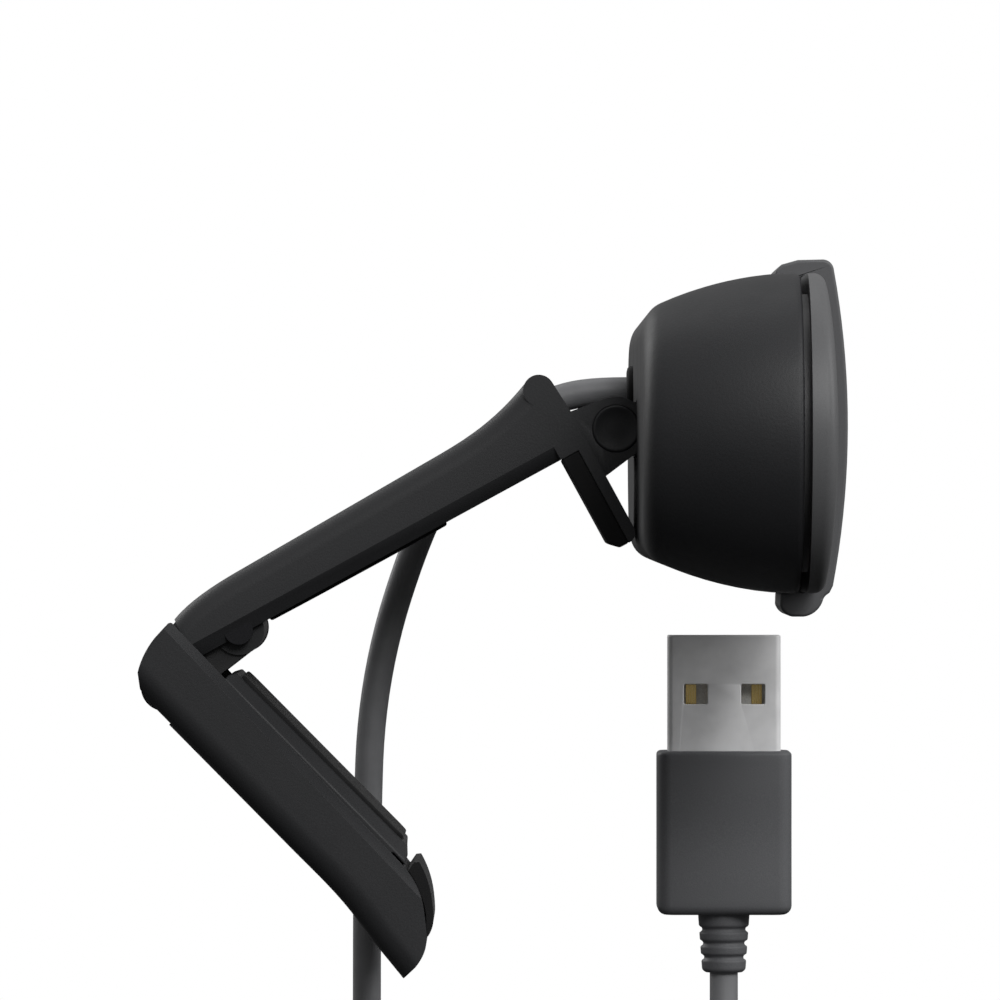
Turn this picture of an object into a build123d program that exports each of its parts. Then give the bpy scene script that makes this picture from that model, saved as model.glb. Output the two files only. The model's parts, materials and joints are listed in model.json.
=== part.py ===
from build123d import *
import math
import os

# A webcam on a folding monitor clip, with its USB lead and plug.
# Millimetres. +X is the way the lens looks, +Y is across the head and +Z is up.
# The origin is on the clip's seat, the rubber face that rests on a screen's top edge, under
# the middle of the arm.
# The seat slopes with the arm, because the head is drawn level and tilted down onto its lip.

# ---- the clip's upper arm, in (u, w): u runs forward along its underside from the corner
# where the underside meets the lip, and w stands away from the screen
ARM_SLOPE = 28.6
SEAT_U = -21.3
SEAT_PROUD = 0.35
ARM_HALF_WIDTH = 11.5
ARM_INNER_HALF = 9.6
ARM_REAR_U = -43.05
LIP_PAD_U = (0.1, 2.1)
LIP_FRONT_U = 3.3
LIP_DEPTH = 10.9
TILT_U, TILT_W = 6.6, 0.1
ELBOW_U, ELBOW_W = -37.7, 0.5
UNDERPLATE_U = (-34.4, -2.0)
UNDERPLATE_W = (0.5, 2.1)
ARM_PAD_U = (-34.4, -13.6)
PLATE_SCREWS_U = (-26.0, -8.0)

# ---- the tilt hinge
EAR_Y = (6.9, 9.9)
EAR_RADIUS = 3.3
EAR_BASE_HALF = 3.85
KNUCKLE_RADIUS = 3.1
KNUCKLE_HALF = 6.5
PIN_RADIUS = 1.2
PIN_HEAD_RADIUS = 2.5
PIN_HEAD_DEPTH = 0.7
RUNNING_GAP = 0.05

# ---- the clip's foot, in (f, n): f runs along the foot from the elbow, n faces the screen
FOOT_DROP = 43.8
FOOT_HALF_WIDTH = 13.5
CHEEK_INNER_HALF = 12.0
HEEL_F, HEEL_N = -1.4, -9.5
HEEL_RADIUS = 2.5
LINK_RADIUS = 2.5
LINK_HALF = 9.2
LINK_WIDE_HALF = 11.4
LINK_WIDE_N = -7.3
ELBOW_PIN_RADIUS = 1.5
HEEL_PIN_RADIUS = 1.25
GRIP_F = (2.5, 27.4)
GRIP_TOP_N = -3.28
GRIP_FALL = 0.026
FOOT_PAD_PROUD = 0.45
SKIN_START_F = 1.6
SKIN_INNER_N = -10.7

# ---- the head, in (x, h): x as in the model, h above or below the head's middle
HEAD_Z = 13.0
PILL_HALF = 43.45
PILL_RADIUS = 15.95
SHELL_BACK_X = 26.4
SHELL_WALL = 1.8
SHELL_BACK_WALL = 2.4
SEAM_X = (42.1, 42.85)
FACE_X = 45.4
FACE_WALL = 1.8
FACE_DOME = 150.0
BEZEL_WALL = 1.75
TONGUE_RADIUS = (12.9, 13.85)
BOARD_X = (36.2, 37.2)
BOARD_HALF = (46.0, 11.5)
LED_Y, MIC_Y = 10.5, 20.0
POST_Y = 36.0
LENS_RADIUS = 2.6
LENS_TRIM_RADIUS = 6.3
WINDOW_RADIUS = 4.4

# ---- the privacy shutter that slides across the lens
SLIDER_Y = -15.5
SLIDER_WIDTH = 17.0
SLIDER_GAP = 0.12
SLIDER_PROUD = 2.2

# ---- the lead and its plug
CABLE = 3.0
CABLE_Y = 16.0
CABLE_LENGTH = 1500.0
GROMMET_X = 25.75
GROMMET_H = 4.95
FLOOR_Z = -70.15
TIE_THICKNESS = 0.5
COIL_CENTRE = (21.65, -1.0)
COIL_RADII = (12.7, 25.1)
COIL_ROWS = 3
ROW_PITCH = 2.6
PLUG_X = 36.1
PLUG_WIDTH, PLUG_DEPTH, PLUG_HEIGHT = 14.3, 7.8, 17.4
RELIEF_HEIGHT = 6.2
USB_WIDTH, USB_DEPTH, USB_LENGTH = 12.0, 4.5, 12.3
USB_WALL = 0.35


def unit(degrees):
    """The unit vector in the XZ plane at an angle above +X."""
    return Vector(math.cos(math.radians(degrees)), 0, math.sin(math.radians(degrees)))


# Each working plane's z axis is -Y, so its sketches are seen from the side with +X to the right.
ALONG = unit(ARM_SLOPE)
AWAY = unit(ARM_SLOPE + 90)
CORNER = ALONG * -SEAT_U + AWAY * SEAT_PROUD
ARM = Plane(origin=CORNER, x_dir=ALONG, z_dir=(0, -1, 0))
TILT_AXIS = CORNER + ALONG * TILT_U + AWAY * TILT_W
ELBOW_AXIS = CORNER + ALONG * ELBOW_U + AWAY * ELBOW_W
FOOT = Plane(origin=ELBOW_AXIS, x_dir=unit(-FOOT_DROP), z_dir=(0, -1, 0))
HEEL_AXIS = FOOT.from_local_coords(Vector(HEEL_F, HEEL_N, 0))
HEAD = Plane(origin=(0, 0, HEAD_Z), x_dir=(1, 0, 0), z_dir=(0, -1, 0))
ROW_Z = [FLOOR_Z + TIE_THICKNESS + CABLE / 2 + row * ROW_PITCH for row in range(COIL_ROWS)]

PARTS = {}


def add(node, *solids):
    """Keep a node's solids under its name."""
    PARTS[node] = solids[0] if len(solids) == 1 else Compound(children=list(solids))


def slab(plane, face, y0, y1):
    """A face drawn on one of the side planes, given thickness from y0 to y1 across the model."""
    return Pos(0, (y0 + y1) / 2, 0) * extrude(plane * face, (y1 - y0) / 2, both=True)


def pair(plane, face, inner, outer):
    """The same slab on both sides of the middle."""
    return [slab(plane, face, inner, outer), slab(plane, face, -outer, -inner)]


def polygon(*points):
    """A face with straight sides."""
    return make_face(Polyline(*points, close=True))


def rod(point, radius, y0, y1):
    """A round bar across the model, with its axis through a point of the side view."""
    spot = Pos(point.X, (y0 + y1) / 2, point.Z)
    return spot * Rot(90, 0, 0) * Cylinder(radius, y1 - y0)


def stud(x0, x1, y, z, radius):
    """A round bar along X."""
    return Pos((x0 + x1) / 2, y, z) * Rot(0, 90, 0) * Cylinder(radius, x1 - x0)


def block(x0, x1, y, z, width, height):
    """A box along X, centred on (y, z)."""
    return Pos((x0 + x1) / 2, y, z) * Box(x1 - x0, width, height)


def pill(radius, x0, x1):
    """A bar along X whose section is a pill as wide as the head's, less what it is inset."""
    bar = block(x0, x1, 0, HEAD_Z, 2 * PILL_HALF, 2 * radius)
    for side in (-1, 1):
        bar += stud(x0, x1, side * PILL_HALF, HEAD_Z, radius)
    return bar


def screw(x0, y, z, shank, length, head=1.8, head_depth=0.8, way=1):
    """A pan-head screw along X, whose head ends at x0 and whose shank goes the given way."""
    top = stud(min(x0, x0 - way * head_depth), max(x0, x0 - way * head_depth), y, z, head)
    return top + stud(min(x0, x0 + way * length), max(x0, x0 + way * length), y, z, shank)


# ======================================================================== clip, upper arm
def arm_outline():
    """Side view of the arm: underside, lip, flare behind the head, top and rear end."""
    lip_tip = -LIP_DEPTH
    with BuildLine() as line:
        Polyline((-42.0, 0), (LIP_PAD_U[1], 0), (LIP_PAD_U[1], lip_tip), (2.15, lip_tip))
        toe = JernArc((2.15, lip_tip), (1, 0), LIP_FRONT_U - 2.15, 90)
        Line(toe @ 1, (LIP_FRONT_U, 4.0))
        Line((LIP_FRONT_U, 4.0), (3.05, 7.6))
        ThreePointArc((3.05, 7.6), (2.1, 8.88), (0.5, 8.72))
        Spline(
            (0.5, 8.72), (-3.05, 7.5), (-5.9, 6.9), (-10.5, 6.52),
            tangents=[(-0.92, -0.38), (-1, -0.03)],
        )
        Line((-10.5, 6.52), (-35.5, 5.88))
        Spline((-35.5, 5.88), (-39.4, 5.57), (ARM_REAR_U, 4.65), tangents=[(-1, -0.03), (-1, -0.42)])
        Line((ARM_REAR_U, 4.65), (ARM_REAR_U, 1.0))
        ThreePointArc((ARM_REAR_U, 1.0), (-42.7, 0.3), (-42.0, 0))
    return make_face(line.line)


def clip_arm():
    """The upper arm with its lip and the two ears that carry the head."""
    body = slab(ARM, arm_outline(), -ARM_HALF_WIDTH, ARM_HALF_WIDTH)

    def along_the_top(edge):
        spot = ARM.to_local_coords(edge.center())
        return abs(abs(edge.center().Y) - ARM_HALF_WIDTH) < 0.01 and spot.X < 1.4 and spot.Y > 3.5

    body = fillet([edge for edge in body.edges() if along_the_top(edge)], 2.2)
    bevel = Plane(origin=CORNER, x_dir=(0, 1, 0), z_dir=ALONG)
    outside, inside = ARM_HALF_WIDTH + 1, ARM_HALF_WIDTH - 1.4
    wedge = polygon((outside, -1.0), (outside, 3.0), (inside, -0.6), (inside, -1.0))
    for side in (1, -1):
        cut = extrude(bevel * (wedge if side == 1 else mirror(wedge, Plane.YZ)), -50)
        body -= cut
    hollow = polygon(
        (-50, -1), (-1.6, -1), (-1.6, 4.9), (-9.0, 4.8), (-36.0, 4.2), (ARM_REAR_U, 3.2), (-50, 2.2)
    )
    body -= slab(ARM, hollow, -ARM_INNER_HALF, ARM_INNER_HALF)
    for u in PLATE_SCREWS_U:
        boss = Plane(origin=CORNER + ALONG * u, z_dir=AWAY)
        body += extrude(boss.offset(UNDERPLATE_W[1]) * Circle(2.1), 3.2)
        body -= extrude(boss.offset(UNDERPLATE_W[1] - 1) * Circle(0.9), 3.8)
    base = [(LIP_FRONT_U - 0.2, TILT_W + EAR_BASE_HALF), (LIP_FRONT_U - 0.2, TILT_W - EAR_BASE_HALF)]
    ring = Pos(TILT_U, TILT_W) * Circle(EAR_RADIUS)
    ear = make_hull(ring.edges() + Line(*base).edges())
    for solid in pair(ARM, ear, *EAR_Y):
        body += solid
    body -= rod(TILT_AXIS, PIN_RADIUS, -20, 20)
    for side in (-1, 1):
        outer = side * EAR_Y[1]
        inner = side * (EAR_Y[1] - PIN_HEAD_DEPTH)
        body -= rod(TILT_AXIS, PIN_HEAD_RADIUS, min(inner, outer) - 0.01, max(inner, outer) + 0.01)
    body -= rod(ELBOW_AXIS, ELBOW_PIN_RADIUS, -11.0, 11.0)
    return body


def arm_pieces():
    """The arm's cover plate, its screws and its rubber pads."""
    (rear, front), (low, high) = UNDERPLATE_U, UNDERPLATE_W
    outline = polygon((rear, low), (front, low), (front, high), (rear, high))
    plate = slab(ARM, outline, -ARM_INNER_HALF, ARM_INNER_HALF)
    screws = []
    for u in PLATE_SCREWS_U:
        spot = Plane(origin=CORNER + ALONG * u, z_dir=AWAY)
        head = extrude(spot.offset(UNDERPLATE_W[0]) * Circle(1.7), 0.9)
        shank = extrude(spot.offset(UNDERPLATE_W[0]) * Circle(0.9), 4.3)
        plate -= head + shank
        screws.append(head + shank)
    pad = slab(
        ARM,
        polygon(
            (ARM_PAD_U[0], UNDERPLATE_W[0]), (ARM_PAD_U[0], -SEAT_PROUD),
            (ARM_PAD_U[1] - 0.5, -SEAT_PROUD), (ARM_PAD_U[1], -SEAT_PROUD + 0.35),
            (ARM_PAD_U[1], UNDERPLATE_W[0]),
        ),
        -8.8, 8.8,
    )
    lip = polygon(
        (LIP_PAD_U[1], 0), (LIP_PAD_U[0], 0), (LIP_PAD_U[0], 0.9 - LIP_DEPTH),
        (LIP_PAD_U[0] + 0.9, -LIP_DEPTH), (LIP_PAD_U[1], -LIP_DEPTH),
    )
    add("arm_underplate", plate)
    add("underplate_screws", *screws)
    add("arm_pad", pad)
    add("lip_pad", slab(ARM, lip, -11.4, 11.4))


# ======================================================================== tilt hinge
def tilt_hinge():
    """The pin through the ears, its washers, and the knuckle that the head hangs on."""
    pin = rod(TILT_AXIS, PIN_RADIUS, -EAR_Y[1], EAR_Y[1])
    for side in (-1, 1):
        inner, outer = side * (EAR_Y[1] - PIN_HEAD_DEPTH), side * EAR_Y[1]
        pin += rod(TILT_AXIS, PIN_HEAD_RADIUS, min(inner, outer), max(inner, outer))
    add("tilt_pin", pin)
    washers = []
    for side in (-1, 1):
        inner, outer = side * (KNUCKLE_HALF + RUNNING_GAP), side * EAR_Y[0]
        disc = rod(TILT_AXIS, 2.9, min(inner, outer), max(inner, outer))
        washers.append(disc - rod(TILT_AXIS, PIN_RADIUS, -20, 20))
    add("tilt_washers", *washers)
    back_z = TILT_AXIS.Z
    knuckle = rod(TILT_AXIS, KNUCKLE_RADIUS, -KNUCKLE_HALF, KNUCKLE_HALF)
    neck_end = SHELL_BACK_X + SHELL_BACK_WALL
    knuckle += block(TILT_AXIS.X, neck_end + 0.1, 0, back_z, 2 * KNUCKLE_HALF, 2 * KNUCKLE_RADIUS - 0.6)
    knuckle += block(neck_end, neck_end + 1.8, 0, back_z, 23.0, 9.0)
    knuckle -= rod(TILT_AXIS, PIN_RADIUS + RUNNING_GAP, -20, 20)
    screws = []
    for side in (-1, 1):
        knuckle -= stud(neck_end - 1, neck_end + 3, side * 9.0, back_z, 0.9)
        screws.append(screw(neck_end + 1.8, side * 9.0, back_z, 0.9, 3.0, way=-1))
    add("tilt_knuckle", knuckle)
    add("knuckle_screws", *screws)


# ======================================================================== clip, link and foot
def foot_point(f, n):
    """A place on the foot's side view, in the model's frame."""
    return FOOT.from_local_coords(Vector(f, n, 0))


def clip_link():
    """The dog-bone between the arm's elbow and the foot's heel."""
    ends = Circle(LINK_RADIUS).edges() + (Pos(HEEL_F, HEEL_N) * Circle(HEEL_RADIUS)).edges()
    side = make_hull(ends)
    link = slab(FOOT, side, -LINK_HALF, LINK_HALF)
    low = side & (Pos(0, LINK_WIDE_N - 10) * Rectangle(40, 20))
    link += slab(FOOT, low, -LINK_WIDE_HALF, LINK_WIDE_HALF)
    link -= rod(ELBOW_AXIS, ELBOW_PIN_RADIUS + RUNNING_GAP, -20, 20)
    link -= rod(HEEL_AXIS, HEEL_PIN_RADIUS + RUNNING_GAP, -20, 20)
    add("clip_link", link)
    add("elbow_pin", rod(ELBOW_AXIS, ELBOW_PIN_RADIUS, -11.0, 11.0))
    add("heel_pin", rod(HEEL_AXIS, HEEL_PIN_RADIUS, -12.7, 12.7))
    for node, axis, bore, radius, inner, outer in (
        ("elbow_washers", ELBOW_AXIS, ELBOW_PIN_RADIUS, 2.6, LINK_HALF + RUNNING_GAP, ARM_INNER_HALF),
        ("heel_washers", HEEL_AXIS, HEEL_PIN_RADIUS, 2.3, LINK_WIDE_HALF + RUNNING_GAP, CHEEK_INNER_HALF),
    ):
        rings = [rod(axis, radius, inner, outer), rod(axis, radius, -outer, -inner)]
        add(node, *[ring - rod(axis, bore, -20, 20) for ring in rings])


def foot_outline():
    """Side view of the foot's cover, from its rear end round the back to the tip and home."""
    with BuildLine() as line:
        Line((-5.3, -4.2), (28.2, -5.7))
        Spline(
            (28.2, -5.7), (32.6, -6.75), (35.2, -8.7), (37.3, -12.4),
            tangents=[(1, -0.05), (0.1, -1)],
        )
        Polyline((37.3, -12.4), (37.25, -14.2), (33.0, -13.68))
        Spline((33.0, -13.68), (28.0, -12.89), (20.0, -12.53), tangents=[(-1, 0.15), (-1, 0.02)])
        Line((20.0, -12.53), (0.0, -12.0))
        Polyline((0.0, -12.0), (-3.1, -11.4), (-4.45, -10.3))
        ThreePointArc((-4.45, -10.3), (-5.25, -8.5), (-5.65, -6.5))
        Line((-5.65, -6.5), (-5.7, -4.6))
        ThreePointArc((-5.7, -4.6), (-5.6, -4.3), (-5.3, -4.2))
    return make_face(line.line)


def foot_shell():
    """The foot's cover: a channel whose cheeks stand either side of the link."""
    body = slab(FOOT, foot_outline(), -FOOT_HALF_WIDTH, FOOT_HALF_WIDTH)

    def outer_back(edge):
        spot = FOOT.to_local_coords(edge.center())
        return abs(abs(edge.center().Y) - FOOT_HALF_WIDTH) < 0.01 and spot.Y < -11.8 and 2 < spot.X < 35

    body = fillet([edge for edge in body.edges() if outer_back(edge)], 2.6)
    across = Plane(origin=ELBOW_AXIS, x_dir=(0, 1, 0), z_dir=FOOT.x_dir)
    strip = polygon((14.5, -2), (12.5, -2), (12.5, -4.0), (14.5, -5.9))
    for side in (1, -1):
        wedge = strip if side == 1 else mirror(strip, Plane.YZ)
        turn = Plane(origin=foot_point(-10, 0), x_dir=(0, 1, 0), z_dir=FOOT.x_dir.rotate(Axis.Y, 2.6))
        body -= extrude(turn * wedge, 60)
    hollow = polygon(
        (-9, 0), (-9, -20), (SKIN_START_F, -20), (SKIN_START_F, SKIN_INNER_N), (GRIP_F[1], SKIN_INNER_N - 0.3),
        (GRIP_F[1], 0),
    )
    body -= slab(FOOT, hollow, -CHEEK_INNER_HALF, CHEEK_INNER_HALF)
    body -= rod(HEEL_AXIS, HEEL_PIN_RADIUS, -12.7, 12.7)
    for f in (9.0, 22.0):
        post = Plane(origin=foot_point(f, SKIN_INNER_N - 0.6), z_dir=FOOT.y_dir)
        body += extrude(post * Circle(2.2), 2.4)
        body -= extrude(post.offset(0.6) * Circle(0.9), 2.4)
    socket = polygon((30.2, -5), (30.2, -9.6), (33.4, -9.6), (33.4, -5))
    body -= slab(FOOT, socket, -8.0, 8.0)
    return body


def grip_top(f, proud=0.0):
    """A point of the grip's top line, which falls slowly towards the foot's tip."""
    return f, GRIP_TOP_N - GRIP_FALL * f + proud


def foot_pieces():
    """The grip between the cheeks, its screws and the rubber pad at the tip."""
    side = polygon(
        (GRIP_F[0], -4.1), grip_top(GRIP_F[0] + 0.4), grip_top(27.8), (28.4, -4.7),
        (29.3, -5.6), (GRIP_F[1], -5.5), (GRIP_F[1], -8.8), (GRIP_F[0], -8.8),
    )
    half = CHEEK_INNER_HALF - 0.2
    grip = slab(FOOT, side, -half, half)
    middle = grip_top((GRIP_F[0] + 0.4 + 27.8) / 2)

    def top_rim(edge):
        spot = FOOT.to_local_coords(edge.center())
        on_top = abs(spot.X - middle[0]) < 0.01 and abs(spot.Y - middle[1]) < 0.01
        return on_top and abs(abs(edge.center().Y) - half) < 0.01

    grip = chamfer([edge for edge in grip.edges() if top_rim(edge)], 1.2)
    grip -= slab(FOOT, polygon((6.2, -6.5), (6.2, -9), (24.8, -9), (24.8, -6.5)), -9.2, 9.2)
    screws = []
    for f in (9.0, 22.0):
        post = Plane(origin=foot_point(f, -8.9), z_dir=FOOT.y_dir)
        grip += extrude(post * (Circle(2.2) - Circle(0.9)), 2.6)
        grip -= extrude(post.offset(2.3) * Circle(0.9), 2.0)
        grip -= extrude(post.offset(4.1) * Circle(1.7), 5.0)
        shank = extrude(post.offset(-1.6) * Circle(0.9), 6.2)
        head = extrude(post.offset(4.1) * Circle(1.7), 0.8)
        screws.append(shank + head)
    with BuildLine() as line:
        Polyline((29.9, -5.72), (29.75, -4.75), (30.1, -4.35))
        Spline((30.1, -4.35), (32.85, -5.6), (34.75, -7.1), (36.1, -9.3), tangents=[(1, -0.3), (0.2, -1)])
        Polyline((36.1, -9.3), (35.85, -9.75), (35.55, -9.35))
        Spline((35.55, -9.35), (32.6, -6.75), (29.9, -5.85), tangents=[(-0.5, 1), (-1, 0.15)])
        Line((29.9, -5.85), (29.9, -5.72))
    pad = slab(FOOT, make_face(line.line), -10.8, 10.8)
    pad -= foot_shell_tip()
    pad += slab(FOOT, polygon((30.2, -5.5), (30.2, -9.6), (33.4, -9.6), (33.4, -6.5)), -8.0, 8.0)
    strip = polygon(
        grip_top(3.5), grip_top(3.8, FOOT_PAD_PROUD), grip_top(26.9, FOOT_PAD_PROUD),
        grip_top(27.3, FOOT_PAD_PROUD - 0.25), grip_top(27.3),
    )
    add("foot_grip", grip)
    add("foot_pad", slab(FOOT, strip, -10.2, 10.2))
    add("foot_screws", *screws)
    add("foot_tip_pad", pad)


def foot_shell_tip():
    """The solid end of the foot's cover, which the tip pad lies on."""
    return slab(FOOT, foot_outline(), -FOOT_HALF_WIDTH, FOOT_HALF_WIDTH)


# ======================================================================== head
def bowl(back, rise, edge, rim, lip=0.0):
    """A pill-shaped bowl: flat back, rounded edge, sides that open slowly to the rim.

    back is the x of the flat, rise its half height, edge the x and half height where the rounded
    edge ends, and rim those where the sides end. There the rim turns in by a quarter circle of
    radius lip.
    """
    x, height = edge
    run, reach = x - back, rim[0] - x
    slope = 0.45
    with BuildLine() as line:
        Polyline((back, 0), (back, rise))
        Bezier(
            (back, rise), (back, rise + 0.65 * (height - rise)),
            (x - 0.53 * run, height - slope * 0.53 * run), edge,
        )
        Bezier(edge, (x + 0.29 * reach, height + slope * 0.29 * reach), (x + 0.66 * reach, rim[1]), rim)
        if lip:
            JernArc(rim, (1, 0), lip, -90)
        Polyline((rim[0] + lip, rim[1] - lip), (rim[0] + lip, 0), (back, 0))
    half = make_face(line.line)
    whole = slab(HEAD, half, -PILL_HALF, PILL_HALF)
    whole += slab(HEAD, mirror(half, Plane.XZ), -PILL_HALF, PILL_HALF)
    for side in (-1, 1):
        spot = Plane(origin=(0, side * PILL_HALF, HEAD_Z), x_dir=(1, 0, 0), z_dir=(0, -1, 0))
        axis = Axis((0, side * PILL_HALF, HEAD_Z), (1, 0, 0))
        whole += revolve(spot * half, axis, 360)
    return whole


def rear_shell():
    """The charcoal bowl behind the seam."""
    wall, back_wall = SHELL_WALL, SHELL_BACK_WALL
    rim, lip = 15.95, 0.6
    shell = bowl(SHELL_BACK_X, 9.3, (28.3, 13.0), (SEAM_X[0] - lip, rim), lip)
    inside = bowl(SHELL_BACK_X + back_wall, 7.6, (30.5, 11.5), (SEAM_X[0], rim - wall))
    shell -= inside
    for inner, outer in ((EAR_Y[0] - 0.4, EAR_Y[1] + 0.4), (-EAR_Y[1] - 0.4, -EAR_Y[0] + 0.4)):
        shell -= rod(TILT_AXIS, EAR_RADIUS + 0.35, inner, outer)
    width, height = 2 * KNUCKLE_HALF, 2 * KNUCKLE_RADIUS - 0.6
    shell -= block(SHELL_BACK_X - 1, SHELL_BACK_X + back_wall + 1, 0, TILT_AXIS.Z, width, height)
    for side in (-1, 1):
        shell -= stud(SHELL_BACK_X + 1.2, SHELL_BACK_X + 4, side * 9.0, TILT_AXIS.Z, 0.9)
    cable_z = HEAD_Z + GROMMET_H
    shell -= stud(SHELL_BACK_X - 1, SHELL_BACK_X + 4, CABLE_Y, cable_z, 2.1)
    return shell


def front_cover():
    """The lighter moulding in front: rim, slightly domed face and the tongue into the shell."""
    solid = pill(PILL_RADIUS, SEAM_X[1], FACE_X + 0.5)
    drum = Pos(FACE_X - FACE_DOME, 0, HEAD_Z) * Rot(90, 0, 0) * Cylinder(FACE_DOME, 200)
    solid = solid & drum
    rim = [edge for edge in solid.edges() if edge.center().X > SEAM_X[1] + 0.5 and edge.length > 5]
    solid = fillet(rim, 1.2)
    cavity = pill(PILL_RADIUS - BEZEL_WALL, SEAM_X[1] - 1, FACE_X)
    inner_drum = Pos(FACE_X - FACE_WALL - FACE_DOME, 0, HEAD_Z) * Rot(90, 0, 0) * Cylinder(FACE_DOME, 200)
    solid -= cavity & inner_drum
    solid += pill(TONGUE_RADIUS[1], SEAM_X[0] - 1.5, SEAM_X[1] + 0.8) - pill(
        TONGUE_RADIUS[0], SEAM_X[0] - 2, SEAM_X[1] + 1
    )
    solid += pill(PILL_RADIUS - BEZEL_WALL + 0.1, SEAM_X[1], SEAM_X[1] + 0.8) - pill(
        TONGUE_RADIUS[0], SEAM_X[1] - 1, SEAM_X[1] + 2
    )
    for side in (-1, 1):
        solid += stud(BOARD_X[1], FACE_X - 1.2, side * POST_Y, HEAD_Z, 2.2)
        solid -= stud(BOARD_X[1] - 1, FACE_X - 4, side * POST_Y, HEAD_Z, 0.9)
    solid += stud(FACE_X - 4.0, FACE_X - 1.0, 0, HEAD_Z, LENS_TRIM_RADIUS + 1.2)
    solid -= stud(FACE_X - 1.2, FACE_X + 1, 0, HEAD_Z, LENS_TRIM_RADIUS)
    solid -= stud(FACE_X - 5, FACE_X + 1, 0, HEAD_Z, WINDOW_RADIUS)
    solid -= stud(FACE_X - 5, FACE_X + 1, LED_Y, HEAD_Z, 1.0)
    solid -= stud(FACE_X - 5, FACE_X + 1, MIC_Y, HEAD_Z, 0.5)
    return solid


def shutter_outline():
    """Side view of the shutter: a C that wraps the front cover and hooks into the seam."""
    gap = SLIDER_GAP
    edge = PILL_RADIUS + gap
    crown = FACE_X + gap
    hook = (SEAM_X[0] + 0.08, SEAM_X[1] - 0.08)
    with BuildLine() as line:
        Polyline((40.2, edge + 0.05), (40.3, 16.75), (40.95, 17.35), (42.6, 17.82), (45.2, 17.88))
        ThreePointArc((45.2, 17.88), (45.95, 17.55), (46.3, 16.8))
        ThreePointArc((46.3, 16.8), (crown + SLIDER_PROUD, 0), (46.2, -15.4))
        Polyline((46.2, -15.4), (45.85, -16.1), (45.25, -16.55))
        ThreePointArc((45.25, -16.55), (44.5, -17.95), (43.2, -18.55))
        Line((43.2, -18.55), (42.4, -18.55))
        ThreePointArc((42.4, -18.55), (41.35, -18.25), (40.8, -17.4))
        Polyline((40.8, -17.4), (40.85, -edge), (hook[0], -edge), (hook[0], -edge + 1.2))
        Polyline((hook[0], -edge + 1.2), (hook[1], -edge + 1.2), (hook[1], -edge), (43.7, -edge))
        ThreePointArc((43.7, -edge), (44.5, -edge + 0.4), (44.85, -edge + 1.3))
        ThreePointArc((44.85, -edge + 1.3), (crown, 0), (44.85, edge - 1.3))
        ThreePointArc((44.85, edge - 1.3), (44.5, edge - 0.4), (43.7, edge))
        Polyline((43.7, edge), (hook[1], edge), (hook[1], edge - 1.2), (hook[0], edge - 1.2))
        Polyline((hook[0], edge - 1.2), (hook[0], edge), (40.2, edge + 0.05))
    return make_face(line.line)


def shutter_slider():
    """The privacy shutter, open beside the lens."""
    low, high = SLIDER_Y - SLIDER_WIDTH / 2, SLIDER_Y + SLIDER_WIDTH / 2
    return slab(HEAD, shutter_outline(), low, high)


def optics():
    """Window, trim, holder, barrel, lens elements, filter and sensor, front to back."""
    sensor_x = BOARD_X[1]
    add("lens_trim", stud(FACE_X - 1.2, FACE_X - 0.25, 0, HEAD_Z, LENS_TRIM_RADIUS) - stud(
        FACE_X - 2, FACE_X + 1, 0, HEAD_Z, WINDOW_RADIUS))
    add("lens_window", stud(FACE_X - 1.3, FACE_X - 0.6, 0, HEAD_Z, WINDOW_RADIUS))
    add("image_sensor", block(sensor_x, sensor_x + 0.8, 0, HEAD_Z, 6.2, 6.2))
    holder = block(sensor_x, sensor_x + 2.0, 0, HEAD_Z, 9.6, 9.6)
    holder += stud(sensor_x + 1.9, sensor_x + 4.6, 0, HEAD_Z, 4.2)
    holder -= block(sensor_x - 1, sensor_x + 1.3, 0, HEAD_Z, 6.8, 6.8)
    holder -= stud(sensor_x, sensor_x + 6, 0, HEAD_Z, 3.4)
    add("lens_holder", holder)
    add("ir_filter", stud(sensor_x + 0.95, sensor_x + 1.25, 0, HEAD_Z, 2.6))
    barrel_x = (sensor_x + 2.0, FACE_X - 1.5)
    barrel = stud(*barrel_x, 0, HEAD_Z, 3.4)
    barrel += stud(sensor_x + 4.7, barrel_x[1], 0, HEAD_Z, 3.9)
    barrel -= stud(barrel_x[0] - 1, barrel_x[1] - 0.8, 0, HEAD_Z, LENS_RADIUS)
    barrel -= stud(barrel_x[0], barrel_x[1] + 1, 0, HEAD_Z, 1.9)
    add("lens_barrel", barrel)
    lenses = []
    for x, depth, crown in (
        (barrel_x[0] + 0.6, 0.9, 0.7), (barrel_x[0] + 1.8, 0.8, 0.6), (barrel_x[1] - 1.95, 1.1, 0.9)
    ):
        disc = stud(x, x + depth, 0, HEAD_Z, LENS_RADIUS)
        lenses.append(fillet(disc.edges().group_by(Axis.X)[-1], crown))
    add("lens_elements", *lenses)


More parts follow.
